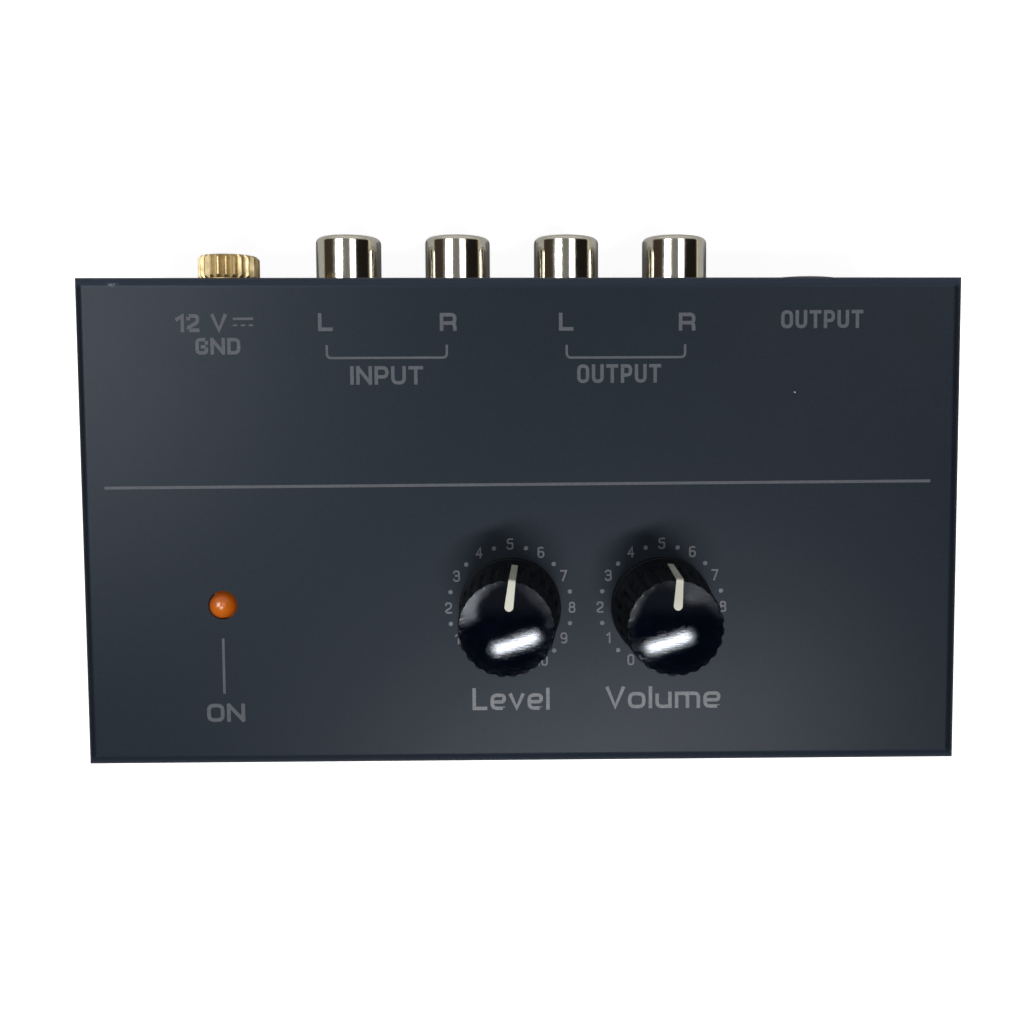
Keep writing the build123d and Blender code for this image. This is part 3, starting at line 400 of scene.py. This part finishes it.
KNOB_GRIP = knob_satin("knob_grip")
LEGEND_INK = ink("legend_ink", srgb(92, 97, 107))
TITLE_INK = ink("title_ink", srgb(150, 152, 158))
DIAL_INK = ink("dial_ink", srgb(134, 137, 144))

for subpart in frame["record"]["subparts"]:
    node = frame["nodes"][subpart["node"]]
    for material_slot in node.material_slots:
        material_slot.material = FINISHES[subpart["material_slot"]]


# ------------------------------------------------------------------ mesh helpers
def piece(name, bm, material, body=CHASSIS, smooth=None):
    """Turn a bmesh into a named piece that rides on a CAD body."""
    bmesh.ops.recalc_face_normals(bm, faces=bm.faces)
    mesh = bpy.data.meshes.new(name)
    bm.to_mesh(mesh)
    bm.free()
    mesh.materials.append(material)
    made = bpy.data.objects.new(name, mesh)
    bpy.context.scene.collection.objects.link(made)
    if smooth is not None:
        mesh.shade_smooth()
        mesh.set_sharp_from_angle(angle=math.radians(smooth))
    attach(made, body)
    return made


# ------------------------------------------------------------------ printed legends
# The ink reaches this far into the face and stands this far above it.
INK_DEPTH = 0.02 * MM
INK_RISE = 0.02 * MM
CORNER_STEPS = 6
# The corner of a stroke is drawn out to at most half the stroke's width divided by this.
MITRE_LIMIT = 0.6
# Points nearer to each other than this, in millimetres, are one point.
MERGE_GAP = 0.0001
DOT_CORNERS = 20


def rounded(points, radius, closed=False):
    """Path through the points with its corners rounded, as far as its runs allow."""
    points = [Vector(p) for p in points]
    count = len(points)
    path = []
    for index, corner in enumerate(points):
        before = points[index - 1]
        after = points[(index + 1) % count]
        if not closed and index in (0, count - 1):
            path.append(corner)
            continue
        back, ahead = before - corner, after - corner
        cut = min(radius, back.length / 2, ahead.length / 2)
        if cut <= 0:
            path.append(corner)
            continue
        start = corner + back.normalized() * cut
        end = corner + ahead.normalized() * cut
        for step in range(CORNER_STEPS + 1):
            t = step / CORNER_STEPS
            path.append(start * (1 - t) ** 2 + corner * 2 * t * (1 - t) + end * t**2)
    clear = [point for index, point in enumerate(path) if (point - path[index - 1]).length > MERGE_GAP]
    return clear if closed else [path[0]] + [point for point in clear if point is not path[0]]


def ribbon(path, width, closed=False, square_ends=True):
    """Outlines of four corners each that cover a stroke of ink along a path."""
    half = width / 2
    count = len(path)
    if square_ends and not closed:
        path = list(path)
        path[0] = path[0] + (path[0] - path[1]).normalized() * half
        path[-1] = path[-1] + (path[-1] - path[-2]).normalized() * half
    sides = []
    for index, point in enumerate(path):
        before = path[index - 1] if closed or index else None
        after = path[(index + 1) % count] if closed or index < count - 1 else None
        ways = []
        if before is not None:
            ways.append((point - before).normalized())
        if after is not None:
            ways.append((after - point).normalized())
        way = sum(ways, Vector((0, 0))).normalized()
        reach = half / max(MITRE_LIMIT, way.dot(ways[0]))
        side = Vector((-way.y, way.x)) * reach
        sides.append((point + side, point - side))
    pairs = list(zip(sides, sides[1:])) + ([(sides[-1], sides[0])] if closed else [])
    return [(near[0], near[1], far[1], far[0]) for near, far in pairs]


def covers(outline, point):
    """Whether a convex outline, its corners counterclockwise, holds a point."""
    before = outline[-1]
    for corner in outline:
        if (corner - before).cross(point - before) < 0:
            return False
        before = corner
    return True


def printed(name, areas, material):
    """Join flat convex outlines, in millimetres on the face, into one closed skin of ink."""
    corners = [corner for outline in areas for corner in outline]
    sides, used = [], 0
    for outline in areas:
        count = len(outline)
        sides += [(used + corner, used + (corner + 1) % count) for corner in range(count)]
        used += count
    joined = delaunay_2d_cdt(corners, sides, [], 0, MERGE_GAP)
    points = joined[0]
    inked = []
    for triangle in joined[2]:
        centre = (points[triangle[0]] + points[triangle[1]] + points[triangle[2]]) / 3
        if any(covers(outline, centre) for outline in areas):
            inked.append(triangle)
    bm = bmesh.new()
    levels = []
    for z in (face_z - INK_DEPTH, face_z + INK_RISE):
        level = {}
        for index in sorted({corner for triangle in inked for corner in triangle}):
            spot = on_face(*points[index])
            level[index] = bm.verts.new((spot.x, spot.y, z))
        levels.append(level)
    bottom, top = levels
    borders = {}
    for triangle in inked:
        bm.faces.new([top[corner] for corner in triangle])
        bm.faces.new([bottom[corner] for corner in reversed(triangle)])
        for corner, following in zip(triangle, triangle[1:] + triangle[:1]):
            if (following, corner) in borders:
                del borders[(following, corner)]
            else:
                borders[(corner, following)] = True
    for corner, following in borders:
        bm.faces.new((top[following], top[corner], bottom[corner], bottom[following]))
    piece(name, bm, material)


# Corner radii of the round capitals and of the figure 0, as shares of their height.
ROUND = 0.34
BOWL = 0.5


def bar(*points):
    """Stroke with sharp corners and square ends."""
    return points, 0, False, True


def bend(radius, *points, square_ends=True):
    """Stroke with rounded corners."""
    return points, radius, False, square_ends


def loop(radius, *points):
    """Closed stroke with rounded corners."""
    return points, radius, True, True


# A glyph is its width and its strokes. Heights run from 0 to 1, at the middle of the stroke.
GLYPHS = {
    " ": (0.18, []),
    "0": (0.5, [loop(BOWL, (0, 0), (0.5, 0), (0.5, 1), (0, 1))]),
    "1": (0.3, [bar((0, 0.78), (0.3, 1), (0.3, 0))]),
    "2": (0.54, [bend(0.22, (0, 0.82), (0, 1), (0.54, 1), (0.54, 0.55), (0, 0.2), (0, 0), (0.54, 0))]),
    "3": (
        0.52,
        [
            bend(0.24, (0, 0.86), (0, 1), (0.5, 1), (0.5, 0.54), (0.18, 0.54)),
            bend(0.26, (0.18, 0.54), (0.52, 0.54), (0.52, 0), (0, 0), (0, 0.14)),
        ],
    ),
    "4": (0.56, [bar((0.42, 0), (0.42, 1), (0, 0.3), (0.56, 0.3))]),
    "5": (0.52, [bend(0.2, (0.48, 1), (0.06, 1), (0, 0.55), (0.52, 0.62), (0.52, 0), (0, 0), (0, 0.14))]),
    "6": (
        0.52,
        [
            bend(0.34, (0.5, 0.88), (0.5, 1), (0, 1), (0, 0.3), square_ends=False),
            loop(0.28, (0, 0), (0.52, 0), (0.52, 0.58), (0, 0.58)),
        ],
    ),
    "7": (0.52, [bar((0, 1), (0.52, 1), (0.18, 0))]),
    "8": (
        0.54,
        [
            loop(0.24, (0.03, 0.54), (0.51, 0.54), (0.51, 1), (0.03, 1)),
            loop(0.27, (0, 0), (0.54, 0), (0.54, 0.54), (0, 0.54)),
        ],
    ),
    "9": (
        0.52,
        [
            bend(0.34, (0.02, 0.12), (0.02, 0), (0.52, 0), (0.52, 0.7), square_ends=False),
            loop(0.28, (0, 0.42), (0.52, 0.42), (0.52, 1), (0, 1)),
        ],
    ),
    "D": (
        0.62,
        [bar((0, 0), (0, 1)), bend(ROUND, (0, 1), (0.62, 1), (0.62, 0), (0, 0), square_ends=False)],
    ),
    "G": (0.6, [bend(0.26, (0.6, 0.76), (0.6, 1), (0, 1), (0, 0), (0.6, 0), (0.6, 0.46), (0.34, 0.46))]),
    "I": (0.0, [bar((0, 0), (0, 1))]),
    "L": (0.6, [bar((0, 1), (0, 0), (0.6, 0))]),
    "N": (0.72, [bar((0, 0), (0, 1)), bar((0.02, 1), (0.7, 0)), bar((0.72, 0), (0.72, 1))]),
    "O": (0.68, [loop(ROUND, (0, 0), (0.68, 0), (0.68, 1), (0, 1))]),
    "P": (
        0.62,
        [bar((0, 0), (0, 1)), bend(0.28, (0, 1), (0.62, 1), (0.62, 0.4), (0, 0.4), square_ends=False)],
    ),
    "R": (
        0.7,
        [
            bar((0, 0), (0, 1)),
            bend(0.28, (0, 1), (0.7, 1), (0.7, 0.42), (0, 0.42), square_ends=False),
            bend(0.2, (0.4, 0.42), (0.68, 0.42), (0.7, 0)),
        ],
    ),
    "T": (0.66, [bar((0, 1), (0.66, 1)), bar((0.33, 1), (0.33, 0))]),
    "U": (0.66, [bend(ROUND, (0, 1), (0, 0), (0.66, 0), (0.66, 1))]),
    "V": (0.72, [bar((0, 1), (0.36, 0), (0.72, 1))]),
    "e": (
        0.64,
        [
            bend(
                0.26,
                (0.02, 0.34),
                (0.64, 0.34),
                (0.64, 0.7),
                (0, 0.7),
                (0, 0),
                (0.6, 0),
                (0.6, 0.08),
                square_ends=False,
            )
        ],
    ),
    "l": (0.0, [bar((0, 0), (0, 1))]),
    "m": (
        1.02,
        [
            bar((0, 0), (0, 0.7)),
            bend(0.24, (0, 0.7), (0.51, 0.7), (0.51, 0)),
            bend(0.24, (0.4, 0.7), (1.02, 0.7), (1.02, 0)),
        ],
    ),
    "o": (0.66, [loop(0.3, (0, 0), (0.66, 0), (0.66, 0.7), (0, 0.7))]),
    "u": (
        0.6,
        [bend(0.26, (0, 0.7), (0, 0), (0.6, 0), (0.6, 0.2), square_ends=False), bar((0.6, 0), (0.6, 0.7))],
    ),
    "v": (0.62, [bar((0, 0.7), (0.31, 0), (0.62, 0.7))]),
}
# Space between two strokes of neighbouring letters, as a share of the letters' height.
LETTER_GAP = 0.17


def write(text, low, high, stroke, skew=0.0):
    """Outlines of a word whose ink fills the box from low to high, in millimetres on the face."""
    height = high[1] - low[1] - stroke
    gap = LETTER_GAP * height + stroke
    widths = [GLYPHS[letter][0] for letter in text]
    free = high[0] - low[0] - stroke - gap * (len(text) - 1)
    stretch = free / sum(widths) if sum(widths) else 0.0
    x = low[0] + stroke / 2
    areas = []
    for letter, glyph_width in zip(text, widths):
        for points, radius, closed, square_ends in GLYPHS[letter][1]:
            placed = []
            for u, v in points:
                across = x + u * stretch
                placed.append((across, low[1] + stroke / 2 + v * height + skew * (across - low[0])))
            areas += ribbon(rounded(placed, radius * height, closed), stroke, closed, square_ends)
        x += glyph_width * stretch + gap
    return areas


def rule(points, width, radius=0.0):
    """Outlines of a printed line through points in millimetres on the face."""
    return ribbon(rounded(points, radius), width, square_ends=False)


def dot(x, y, radius):
    """Outline of a printed round dot, in millimetres on the face."""
    turns = [2 * math.pi * step / DOT_CORNERS for step in range(DOT_CORNERS)]
    return [[Vector((x + radius * math.cos(turn), y + radius * math.sin(turn))) for turn in turns]]


# Some of the legends rise a little from left to right.
LEGEND_SKEW = 0.0035
# Letters over the sockets with the x of their middles, and half the width of each letter.
SOCKET_LETTERS = (("L", -22.83), ("R", -8.53), ("L", 5.25), ("R", 19.43))
HALF_LETTERS = {"L": 0.85, "R": 0.98}
# Left and right ends of the brackets under the letters.
BRACKETS = ((-22.71, -8.72), (5.3, 19.2))
BRACKET_WIDTH = 0.27
BRACKET_CORNER = 0.55
# The sign for direct current: a line as wide as a bracket's over three dashes.
DASH_X = -33.55
DASH_PITCH = 0.92
DASH_LENGTH = 0.5
DASH_WIDTH = 0.2


def rear_legends():
    """Words over the rear connectors, the sign for direct current and the two brackets."""
    areas = write("12 V", (-40.2, 22.42), (-34.25, 24.49), 0.42, LEGEND_SKEW)
    areas += rule([(DASH_X, 23.95), (-31.2, 23.96)], BRACKET_WIDTH)
    for dash in range(3):
        start = DASH_X + dash * DASH_PITCH
        areas += rule([(start, 23.2), (start + DASH_LENGTH, 23.2)], DASH_WIDTH)
    areas += write("GND", (-37.95, 19.82), (-32.74, 21.74), 0.4, LEGEND_SKEW)
    for letter, x in SOCKET_LETTERS:
        half = HALF_LETTERS[letter]
        areas += write(letter, (x - half, 22.52), (x + half, 24.6), 0.42)
    for left, right in BRACKETS:
        path = [(left, 20.88), (left, 19.39), (right, 19.43), (right, 20.92)]
        areas += rule(path, BRACKET_WIDTH, BRACKET_CORNER)
    areas += write("INPUT", (-20.03, 16.3), (-11.52, 18.45), 0.4)
    areas += write("OUTPUT", (6.51, 16.42), (16.39, 18.6), 0.4, LEGEND_SKEW)
    areas += write("OUTPUT", (30.48, 22.75), (40.16, 24.86), 0.4, LEGEND_SKEW)
    printed("rear_legends", areas, LEGEND_INK)


def front_legends():
    """Long rule across the face, and the line and word under the lamp."""
    areas = rule([(-48.97, 4.31), (48.43, 4.78)], 0.34)
    areas += rule([(-35.55, -13.58), (-35.55, -20.2)], 0.3)
    areas += write("ON", (-37.66, -23.59), (-33.16, -21.41), 0.44)
    printed("front_legends", areas, LEGEND_INK)


def control_titles():
    """Names under the two controls."""
    areas = write("Level", (-6.1, -22.42), (3.12, -19.76), 0.42)
    areas += write("Volume", (9.84, -22.34), (23.6, -19.68), 0.42)
    printed("control_titles", areas, TITLE_INK)


DIAL_LAST = 10
DIAL_STEP = 30.0
DIAL_RADIUS = 7.33
DIAL_DOT_RADIUS = 0.26
DIGIT_HEIGHT = 1.34
DIGIT_WIDTH = 0.82
DIGIT_STROKE = 0.2
# The numbers at the rear of a dial stand this much further out than its dots.
DIGIT_RISE = 0.27
# Half the width of a number, as a share of DIGIT_WIDTH, where it isn't 0.5.
HALF_NUMBERS = {"1": 0.31, "10": 0.92}


def dial(name, node):
    """Upright numbers from 0 to 10 round a control, with a dot between each two."""
    centre = middle(node)
    x, y = (centre.x - mid_x) / MM, (centre.y - mid_y) / MM
    areas = []
    for number in range(DIAL_LAST + 1):
        turn = math.radians((number - DIAL_LAST / 2) * DIAL_STEP)
        across = x + DIAL_RADIUS * math.sin(turn)
        up = y + DIAL_RADIUS * math.cos(turn) + DIGIT_RISE * max(0.0, math.cos(turn))
        text = str(number)
        half = DIGIT_WIDTH * HALF_NUMBERS.get(text, 0.5)
        low = (across - half, up - DIGIT_HEIGHT / 2)
        areas += write(text, low, (across + half, up + DIGIT_HEIGHT / 2), DIGIT_STROKE)
        if number < DIAL_LAST:
            turn += math.radians(DIAL_STEP / 2)
            areas += dot(x + DIAL_RADIUS * math.sin(turn), y + DIAL_RADIUS * math.cos(turn), DIAL_DOT_RADIUS)
    printed(name, areas, DIAL_INK)


# ------------------------------------------------------------------ knobs
# Sizes in millimetres; drops are measured down from the top of the dome.
FLUTES = 24
FLUTE_COLUMNS = 20
FLUTE_RADIUS = 0.5
FLUTE_DEPTH = 0.2
FLUTE_START = 7.6
FLUTE_RUN_IN = 0.6
SKIRT_RADIUS = 6.0
SKIRT_HEIGHT = 1.2
SKIRT_EDGE = 0.1
SKIRT_CURVE = 80  # degrees of the skirt's upper edge
GRIP_RADIUS = 5.9
RIM_RADIUS = 5.2
RIM_DROP = 0.56
CROWN_RADIUS = 5.05
CROWN_DROP = 0.46
EDGE_STEPS = 4
DOME_STEPS = 16
WALL_STEPS = 8
PLAIN_STEPS = 2
SMOOTH_ANGLE = 40  # degrees between faces that still shade as one
# The controls, and where their pointers stand in degrees clockwise from the middle of the dials.
POINTERS = {"level": 7.0, "volume": 4.6}


def arc_points(centre, radius, start, end, steps):
    """Points (radius, height) along an arc, angles in degrees."""
    points = []
    for step in range(steps + 1):
        angle = math.radians(start + (end - start) * step / steps)
        points.append((centre[0] + radius * math.cos(angle), centre[1] + radius * math.sin(angle)))
    return points


def between(low, high, steps):
    """Evenly spaced values from low to high, without low itself."""
    return [low + (high - low) * step / steps for step in range(1, steps + 1)]


def knob_profile(tall):
    """Half section of a knob, as (radius, height) in millimetres, from its foot to its top."""
    rim_z = tall - RIM_DROP
    edge_x = SKIRT_RADIUS - SKIRT_EDGE
    profile = arc_points((edge_x, SKIRT_EDGE), SKIRT_EDGE, -90, 0, EDGE_STEPS)
    profile += arc_points((edge_x, SKIRT_HEIGHT - SKIRT_EDGE), SKIRT_EDGE, 0, SKIRT_CURVE, EDGE_STEPS)
    heights = [SKIRT_HEIGHT] + between(SKIRT_HEIGHT, FLUTE_START, PLAIN_STEPS)
    heights += between(FLUTE_START, FLUTE_START + FLUTE_RUN_IN, WALL_STEPS)
    heights += between(FLUTE_START + FLUTE_RUN_IN, rim_z, WALL_STEPS)
    for z in heights:
        share = (z - SKIRT_HEIGHT) / (rim_z - SKIRT_HEIGHT)
        profile.append((GRIP_RADIUS + (RIM_RADIUS - GRIP_RADIUS) * share, z))
    crown_z = tall - CROWN_DROP
    for step in range(1, EDGE_STEPS):
        turn = math.radians(90 * step / EDGE_STEPS)
        reach = CROWN_RADIUS + (RIM_RADIUS - CROWN_RADIUS) * math.cos(turn)
        profile.append((reach, rim_z + (crown_z - rim_z) * math.sin(turn)))
    dome = (CROWN_RADIUS**2 + CROWN_DROP**2) / (2 * CROWN_DROP)
    spread = math.asin(CROWN_RADIUS / dome)
    for step in range(DOME_STEPS):
        angle = spread * (1 - step / DOME_STEPS)
        profile.append((dome * math.sin(angle), tall - dome * (1 - math.cos(angle))))
    return profile


def fluted(radius, z, column):
    """Radius of the knob's surface at a height and column, with its flutes cut in."""
    run_in = min(1.0, max(0.0, (z - FLUTE_START) / FLUTE_RUN_IN)) ** 0.5
    groove_axis = max(radius, RIM_RADIUS) + FLUTE_RADIUS - FLUTE_DEPTH
    across = groove_axis * math.sin(2 * math.pi * ((column / FLUTE_COLUMNS + 0.5) % 1 - 0.5) / FLUTES)
    if abs(across) >= FLUTE_RADIUS or not run_in:
        return radius
    groove = math.sqrt(groove_axis**2 - across**2) - math.sqrt(FLUTE_RADIUS**2 - across**2)
    return radius - run_in * max(0.0, radius - groove)


def knob(name, node, body, turned):
    """Tapered knob, fluted over its upper half, with a polished and slightly domed top."""
    low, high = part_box(node)
    tall = (high[2] - low[2]) / MM
    start = math.radians(90 + 180 / FLUTES - turned)
    bm = bmesh.new()
    axis = Vector(((low[0] + high[0]) / 2, (low[1] + high[1]) / 2, low[2]))
    columns = FLUTES * FLUTE_COLUMNS
    rings = []
    for radius, z in knob_profile(tall):
        ring = []
        for column in range(columns):
            reach = fluted(radius, z, column)
            angle = 2 * math.pi * column / columns + start
            spot = Vector((reach * math.cos(angle), reach * math.sin(angle), z))
            ring.append(bm.verts.new(axis + spot * MM))
        rings.append(ring)
    for near, far in zip(rings, rings[1:]):
        polished = near[0].co.z > axis.z + (tall - CROWN_DROP) * MM - MERGE_GAP * MM
        for column in range(columns):
            following = (column + 1) % columns
            face = bm.faces.new((near[column], near[following], far[following], far[column]))
            face.material_index = 0 if polished else 1
    for ring, z, finish in ((rings[0], 0.0, 1), (rings[-1], tall, 0)):
        hub = bm.verts.new(axis + Vector((0, 0, z)) * MM)
        for column in range(columns):
            face = bm.faces.new((ring[column], ring[(column + 1) % columns], hub))
            face.material_index = finish
    made = piece(name, bm, FINISHES["knob_plastic"], body, smooth=SMOOTH_ANGLE)
    made.data.materials.append(KNOB_GRIP)
    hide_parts(node)


# ------------------------------------------------------------------ turned parts of the jacks
TURN_SEGMENTS = 96


def lathe(bm, centre, profile):
    """Closed ring turned about an axis along Y through centre; profile is (radius, y) in millimetres."""
    rings = []
    for segment in range(TURN_SEGMENTS):
        angle = 2 * math.pi * segment / TURN_SEGMENTS
        ring = []
        for radius, y in profile:
            across, up = radius * math.cos(angle) * MM, radius * math.sin(angle) * MM
            ring.append(bm.verts.new((centre.x + across, centre.y + y * MM, centre.z + up)))
        rings.append(ring)
    count = len(profile)
    for index, near in enumerate(rings):
        far = rings[(index + 1) % TURN_SEGMENTS]
        for corner in range(count):
            following = (corner + 1) % count
            bm.faces.new((near[corner], near[following], far[following], far[corner]))


# Sizes in millimetres; reaches are measured out from the case's rear wall, and the tail into it.
SHELL_RADIUS = 4.15
SHELL_BORE = 3.5
SHELL_ROLL = 0.75
SHELL_REACH = 6.85
COLLAR_REACH = 1.15
SHELL_TAIL_RADIUS = 3.85
SHELL_TAIL = 4.0
ROLL_ANGLE = 82  # degrees of the roll at a shell's mouth
ROLL_STEPS = 10
LIP_RADIUS = 0.12
LIP_SETBACK = 0.14
LIP_STEPS = 3
SHELL_SMOOTH_ANGLE = 35  # degrees between faces that still shade as one


def jack_shells(pair):
    """Nickel-plated shells of one jack pair, rolled over at the mouth."""
    node = f"{pair}_jack_shells"
    rear_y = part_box(node)[1][1] - SHELL_REACH * MM
    profile = [(SHELL_BORE, -SHELL_TAIL), (SHELL_TAIL_RADIUS, -SHELL_TAIL)]
    profile += [(SHELL_TAIL_RADIUS, COLLAR_REACH), (SHELL_RADIUS, COLLAR_REACH)]
    roll = (SHELL_RADIUS - SHELL_ROLL, SHELL_REACH - SHELL_ROLL)
    profile += arc_points(roll, SHELL_ROLL, 0, ROLL_ANGLE, ROLL_STEPS)
    lip = (SHELL_BORE + LIP_RADIUS, SHELL_REACH - LIP_SETBACK)
    profile += arc_points(lip, LIP_RADIUS, 110, 180, LIP_STEPS)
    bm = bmesh.new()
    for side in ("left", "right"):
        centre = middle(f"{pair}_{side}_insulator")
        lathe(bm, Vector((centre.x, rear_y, centre.z)), profile)
    made = piece(f"{pair}_shell_faces", bm, FINISHES["jack_nickel"], smooth=SHELL_SMOOTH_ANGLE)
    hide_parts(node)


# ------------------------------------------------------------------ build the pieces
rear_legends()
front_legends()
control_titles()
for control in POINTERS:
    dial(f"{control}_dial", f"{control}_knob")
for control, turned in POINTERS.items():
    knob(f"{control}_knob_grip", f"{control}_knob", f"{control}_control", turned)
for pair in ("input", "output"):
    jack_shells(pair)


# ------------------------------------------------------------------ stage, light and camera
# How strongly the floor glows to the camera, and half its side in metres.
FLOOR_LIFT = 0.86
FLOOR_HALF = 3.0


def floor():
    """Plain pale floor that carries on past every view; the camera sees it lifted towards white."""
    finish = Finish("floor", (0.8, 0.8, 0.8, 1), 0.9, specular=0.1)
    speckle = finish.noise(30 * MM, detail=2.0)
    finish.set(Base_Color=finish.mix(speckle, (0.79, 0.79, 0.79, 1), (0.81, 0.81, 0.81, 1)))
    finish.fix(Emission_Color=(1, 1, 1, 1))
    path = finish.node("ShaderNodeLightPath")
    finish.set(Emission_Strength=finish.math("MULTIPLY", path.outputs["Is Camera Ray"], FLOOR_LIFT))
    bm = bmesh.new()
    bmesh.ops.create_grid(bm, x_segments=8, y_segments=8, size=FLOOR_HALF)
    mesh = bpy.data.meshes.new("floor")
    bm.to_mesh(mesh)
    bm.free()
    mesh.materials.append(finish.material)
    made = bpy.data.objects.new("floor", mesh)
    bpy.context.scene.collection.objects.link(made)


def softbox(name, place, size, radiance, roll=0.0, diffuse=True):
    """Rectangular soft light that faces straight down, turned by roll degrees about the vertical.

    Without diffuse it shows in glossy surfaces only.
    """
    light = bpy.data.lights.new(name, "AREA")
    light.shape = "RECTANGLE"
    light.size, light.size_y = size
    light.energy = radiance * math.pi * size[0] * size[1]
    made = bpy.data.objects.new(name, light)
    made.location = place
    made.rotation_euler = (0, 0, math.radians(roll))
    made.visible_diffuse = diffuse
    bpy.context.scene.collection.objects.link(made)


# Strength of the world as a lamp, next to 1 as a background.
AMBIENT = 0.2
WHITE = (1.0, 1.0, 1.0, 1.0)
GREY = (0.25, 0.25, 0.25, 1.0)
CREAM = (0.85, 0.78, 0.6, 1.0)
BROWN = (0.06, 0.045, 0.035, 1.0)
BLACK = (0.015, 0.013, 0.011, 1.0)
PALE = (0.75, 0.75, 0.73, 1.0)

# What a mirror sees from side to side: degrees from straight up, towards +X, where each band starts.
ROOM_BANDS = (
    (-180, PALE),
    (-104, CREAM),
    (-88, BROWN),
    (-48, GREY),
    (28, BLACK),
    (83, CREAM),
    (101, PALE),
)
BAND_BLUR = 3.0
# Where the room in the mirrors turns pale towards the rear and dark towards the front, as the Y of the
# direction that a mirror looks in, from -1 straight forward to 1 straight back.
PALE_FROM, PALE_TO = 0.35, 0.7
DARK_FROM, DARK_TO = 0.06, -0.06


def world():
    """Pale even surroundings, white behind the object; mirrors see a room with windows and dark walls."""
    made = bpy.data.worlds.new("studio")
    made.use_nodes = True
    tree = made.node_tree
    background = tree.nodes["Background"]

    def add(kind, links, **settings):
        node = tree.nodes.new(kind)
        for key, value in settings.items():
            setattr(node, key, value)
        for key, value in links.items():
            if isinstance(value, bpy.types.NodeSocket):
                tree.links.new(value, node.inputs[key])
            else:
                node.inputs[key].default_value = value
        return node

    def blend(share, first, second):
        return add("ShaderNodeMixRGB", {"Fac": share, "Color1": first, "Color2": second}).outputs["Color"]

    def fade(value, low, high):
        made = add("ShaderNodeMapRange", {"Value": value, "From Min": low, "From Max": high})
        return made.outputs["Result"]

    def larger(first, second):
        return add("ShaderNodeMath", {0: first, 1: second}, operation="MAXIMUM").outputs[0]

    way = add("ShaderNodeSeparateXYZ", {"Vector": add("ShaderNodeTexCoord", {}).outputs["Generated"]})
    angle = add("ShaderNodeMath", {0: way.outputs["X"], 1: way.outputs["Z"]}, operation="ARCTAN2")
    bands = add("ShaderNodeValToRGB", {"Fac": fade(angle.outputs[0], -math.pi, math.pi)})
    stops = bands.color_ramp.elements
    stops[1].position = 1.0
    stops[0].color, stops[1].color = PALE, PALE
    for (_, before), (start, color) in zip(ROOM_BANDS, ROOM_BANDS[1:]):
        for offset, tone in ((-BAND_BLUR / 2, before), (BAND_BLUR / 2, color)):
            stops.new((start + offset + 180) / 360).color = tone
    room = blend(fade(way.outputs["Y"], PALE_FROM, PALE_TO), bands.outputs["Color"], PALE)
    room = blend(fade(way.outputs["Y"], DARK_FROM, DARK_TO), room, BLACK)
    path = add("ShaderNodeLightPath", {}).outputs
    tree.links.new(blend(path["Is Glossy Ray"], WHITE, room), background.inputs["Color"])
    seen = larger(larger(path["Is Camera Ray"], path["Is Transmission Ray"]), path["Is Glossy Ray"])
    level = add("ShaderNodeMapRange", {"Value": seen, "To Min": AMBIENT, "To Max": 1.0})
    tree.links.new(level.outputs["Result"], background.inputs["Strength"])
    bpy.context.scene.world = made


# The camera in pixels of a square picture, and its place in millimetres from the face's middle.
PICTURE_SIZE = 1024
FOCAL_PIXELS = 1292.72
CENTRE_PIXEL = (569.79, 532.85)
SENSOR = 36.0
CAMERA_ABOVE_FACE = (2.477, 10.6487, 152.6633)
CAMERA_TILT = (-0.077472, -0.020655, -0.003249)


def camera():
    """Camera almost straight above the face, a little nearer the rear."""
    data = bpy.data.cameras.new("camera")
    data.sensor_width = SENSOR
    data.lens = FOCAL_PIXELS / PICTURE_SIZE * SENSOR
    data.shift_x = 0.5 - CENTRE_PIXEL[0] / PICTURE_SIZE
    data.shift_y = CENTRE_PIXEL[1] / PICTURE_SIZE - 0.5
    data.clip_start = 0.005
    data.clip_end = 20.0
    made = bpy.data.objects.new("camera", data)
    x, y, above = CAMERA_ABOVE_FACE
    made.location = on_face(x, y) + Vector((0, 0, above * MM))
    made.rotation_euler = Euler(CAMERA_TILT, "XYZ")
    bpy.context.scene.collection.objects.link(made)
    bpy.context.scene.camera = made


floor()
world()
softbox("front_key", place=(0.098, -0.56, 2.0), size=(0.74, 0.13), radiance=78, roll=18)
softbox("left_window", place=(-0.45, 0.2, 0.84), size=(0.4, 0.52), radiance=15, diffuse=False)
softbox("right_window", place=(0.33, 0.26, 0.84), size=(0.34, 0.42), radiance=3.5, diffuse=False)
camera()
bpy.context.scene.view_settings.view_transform = "Standard"
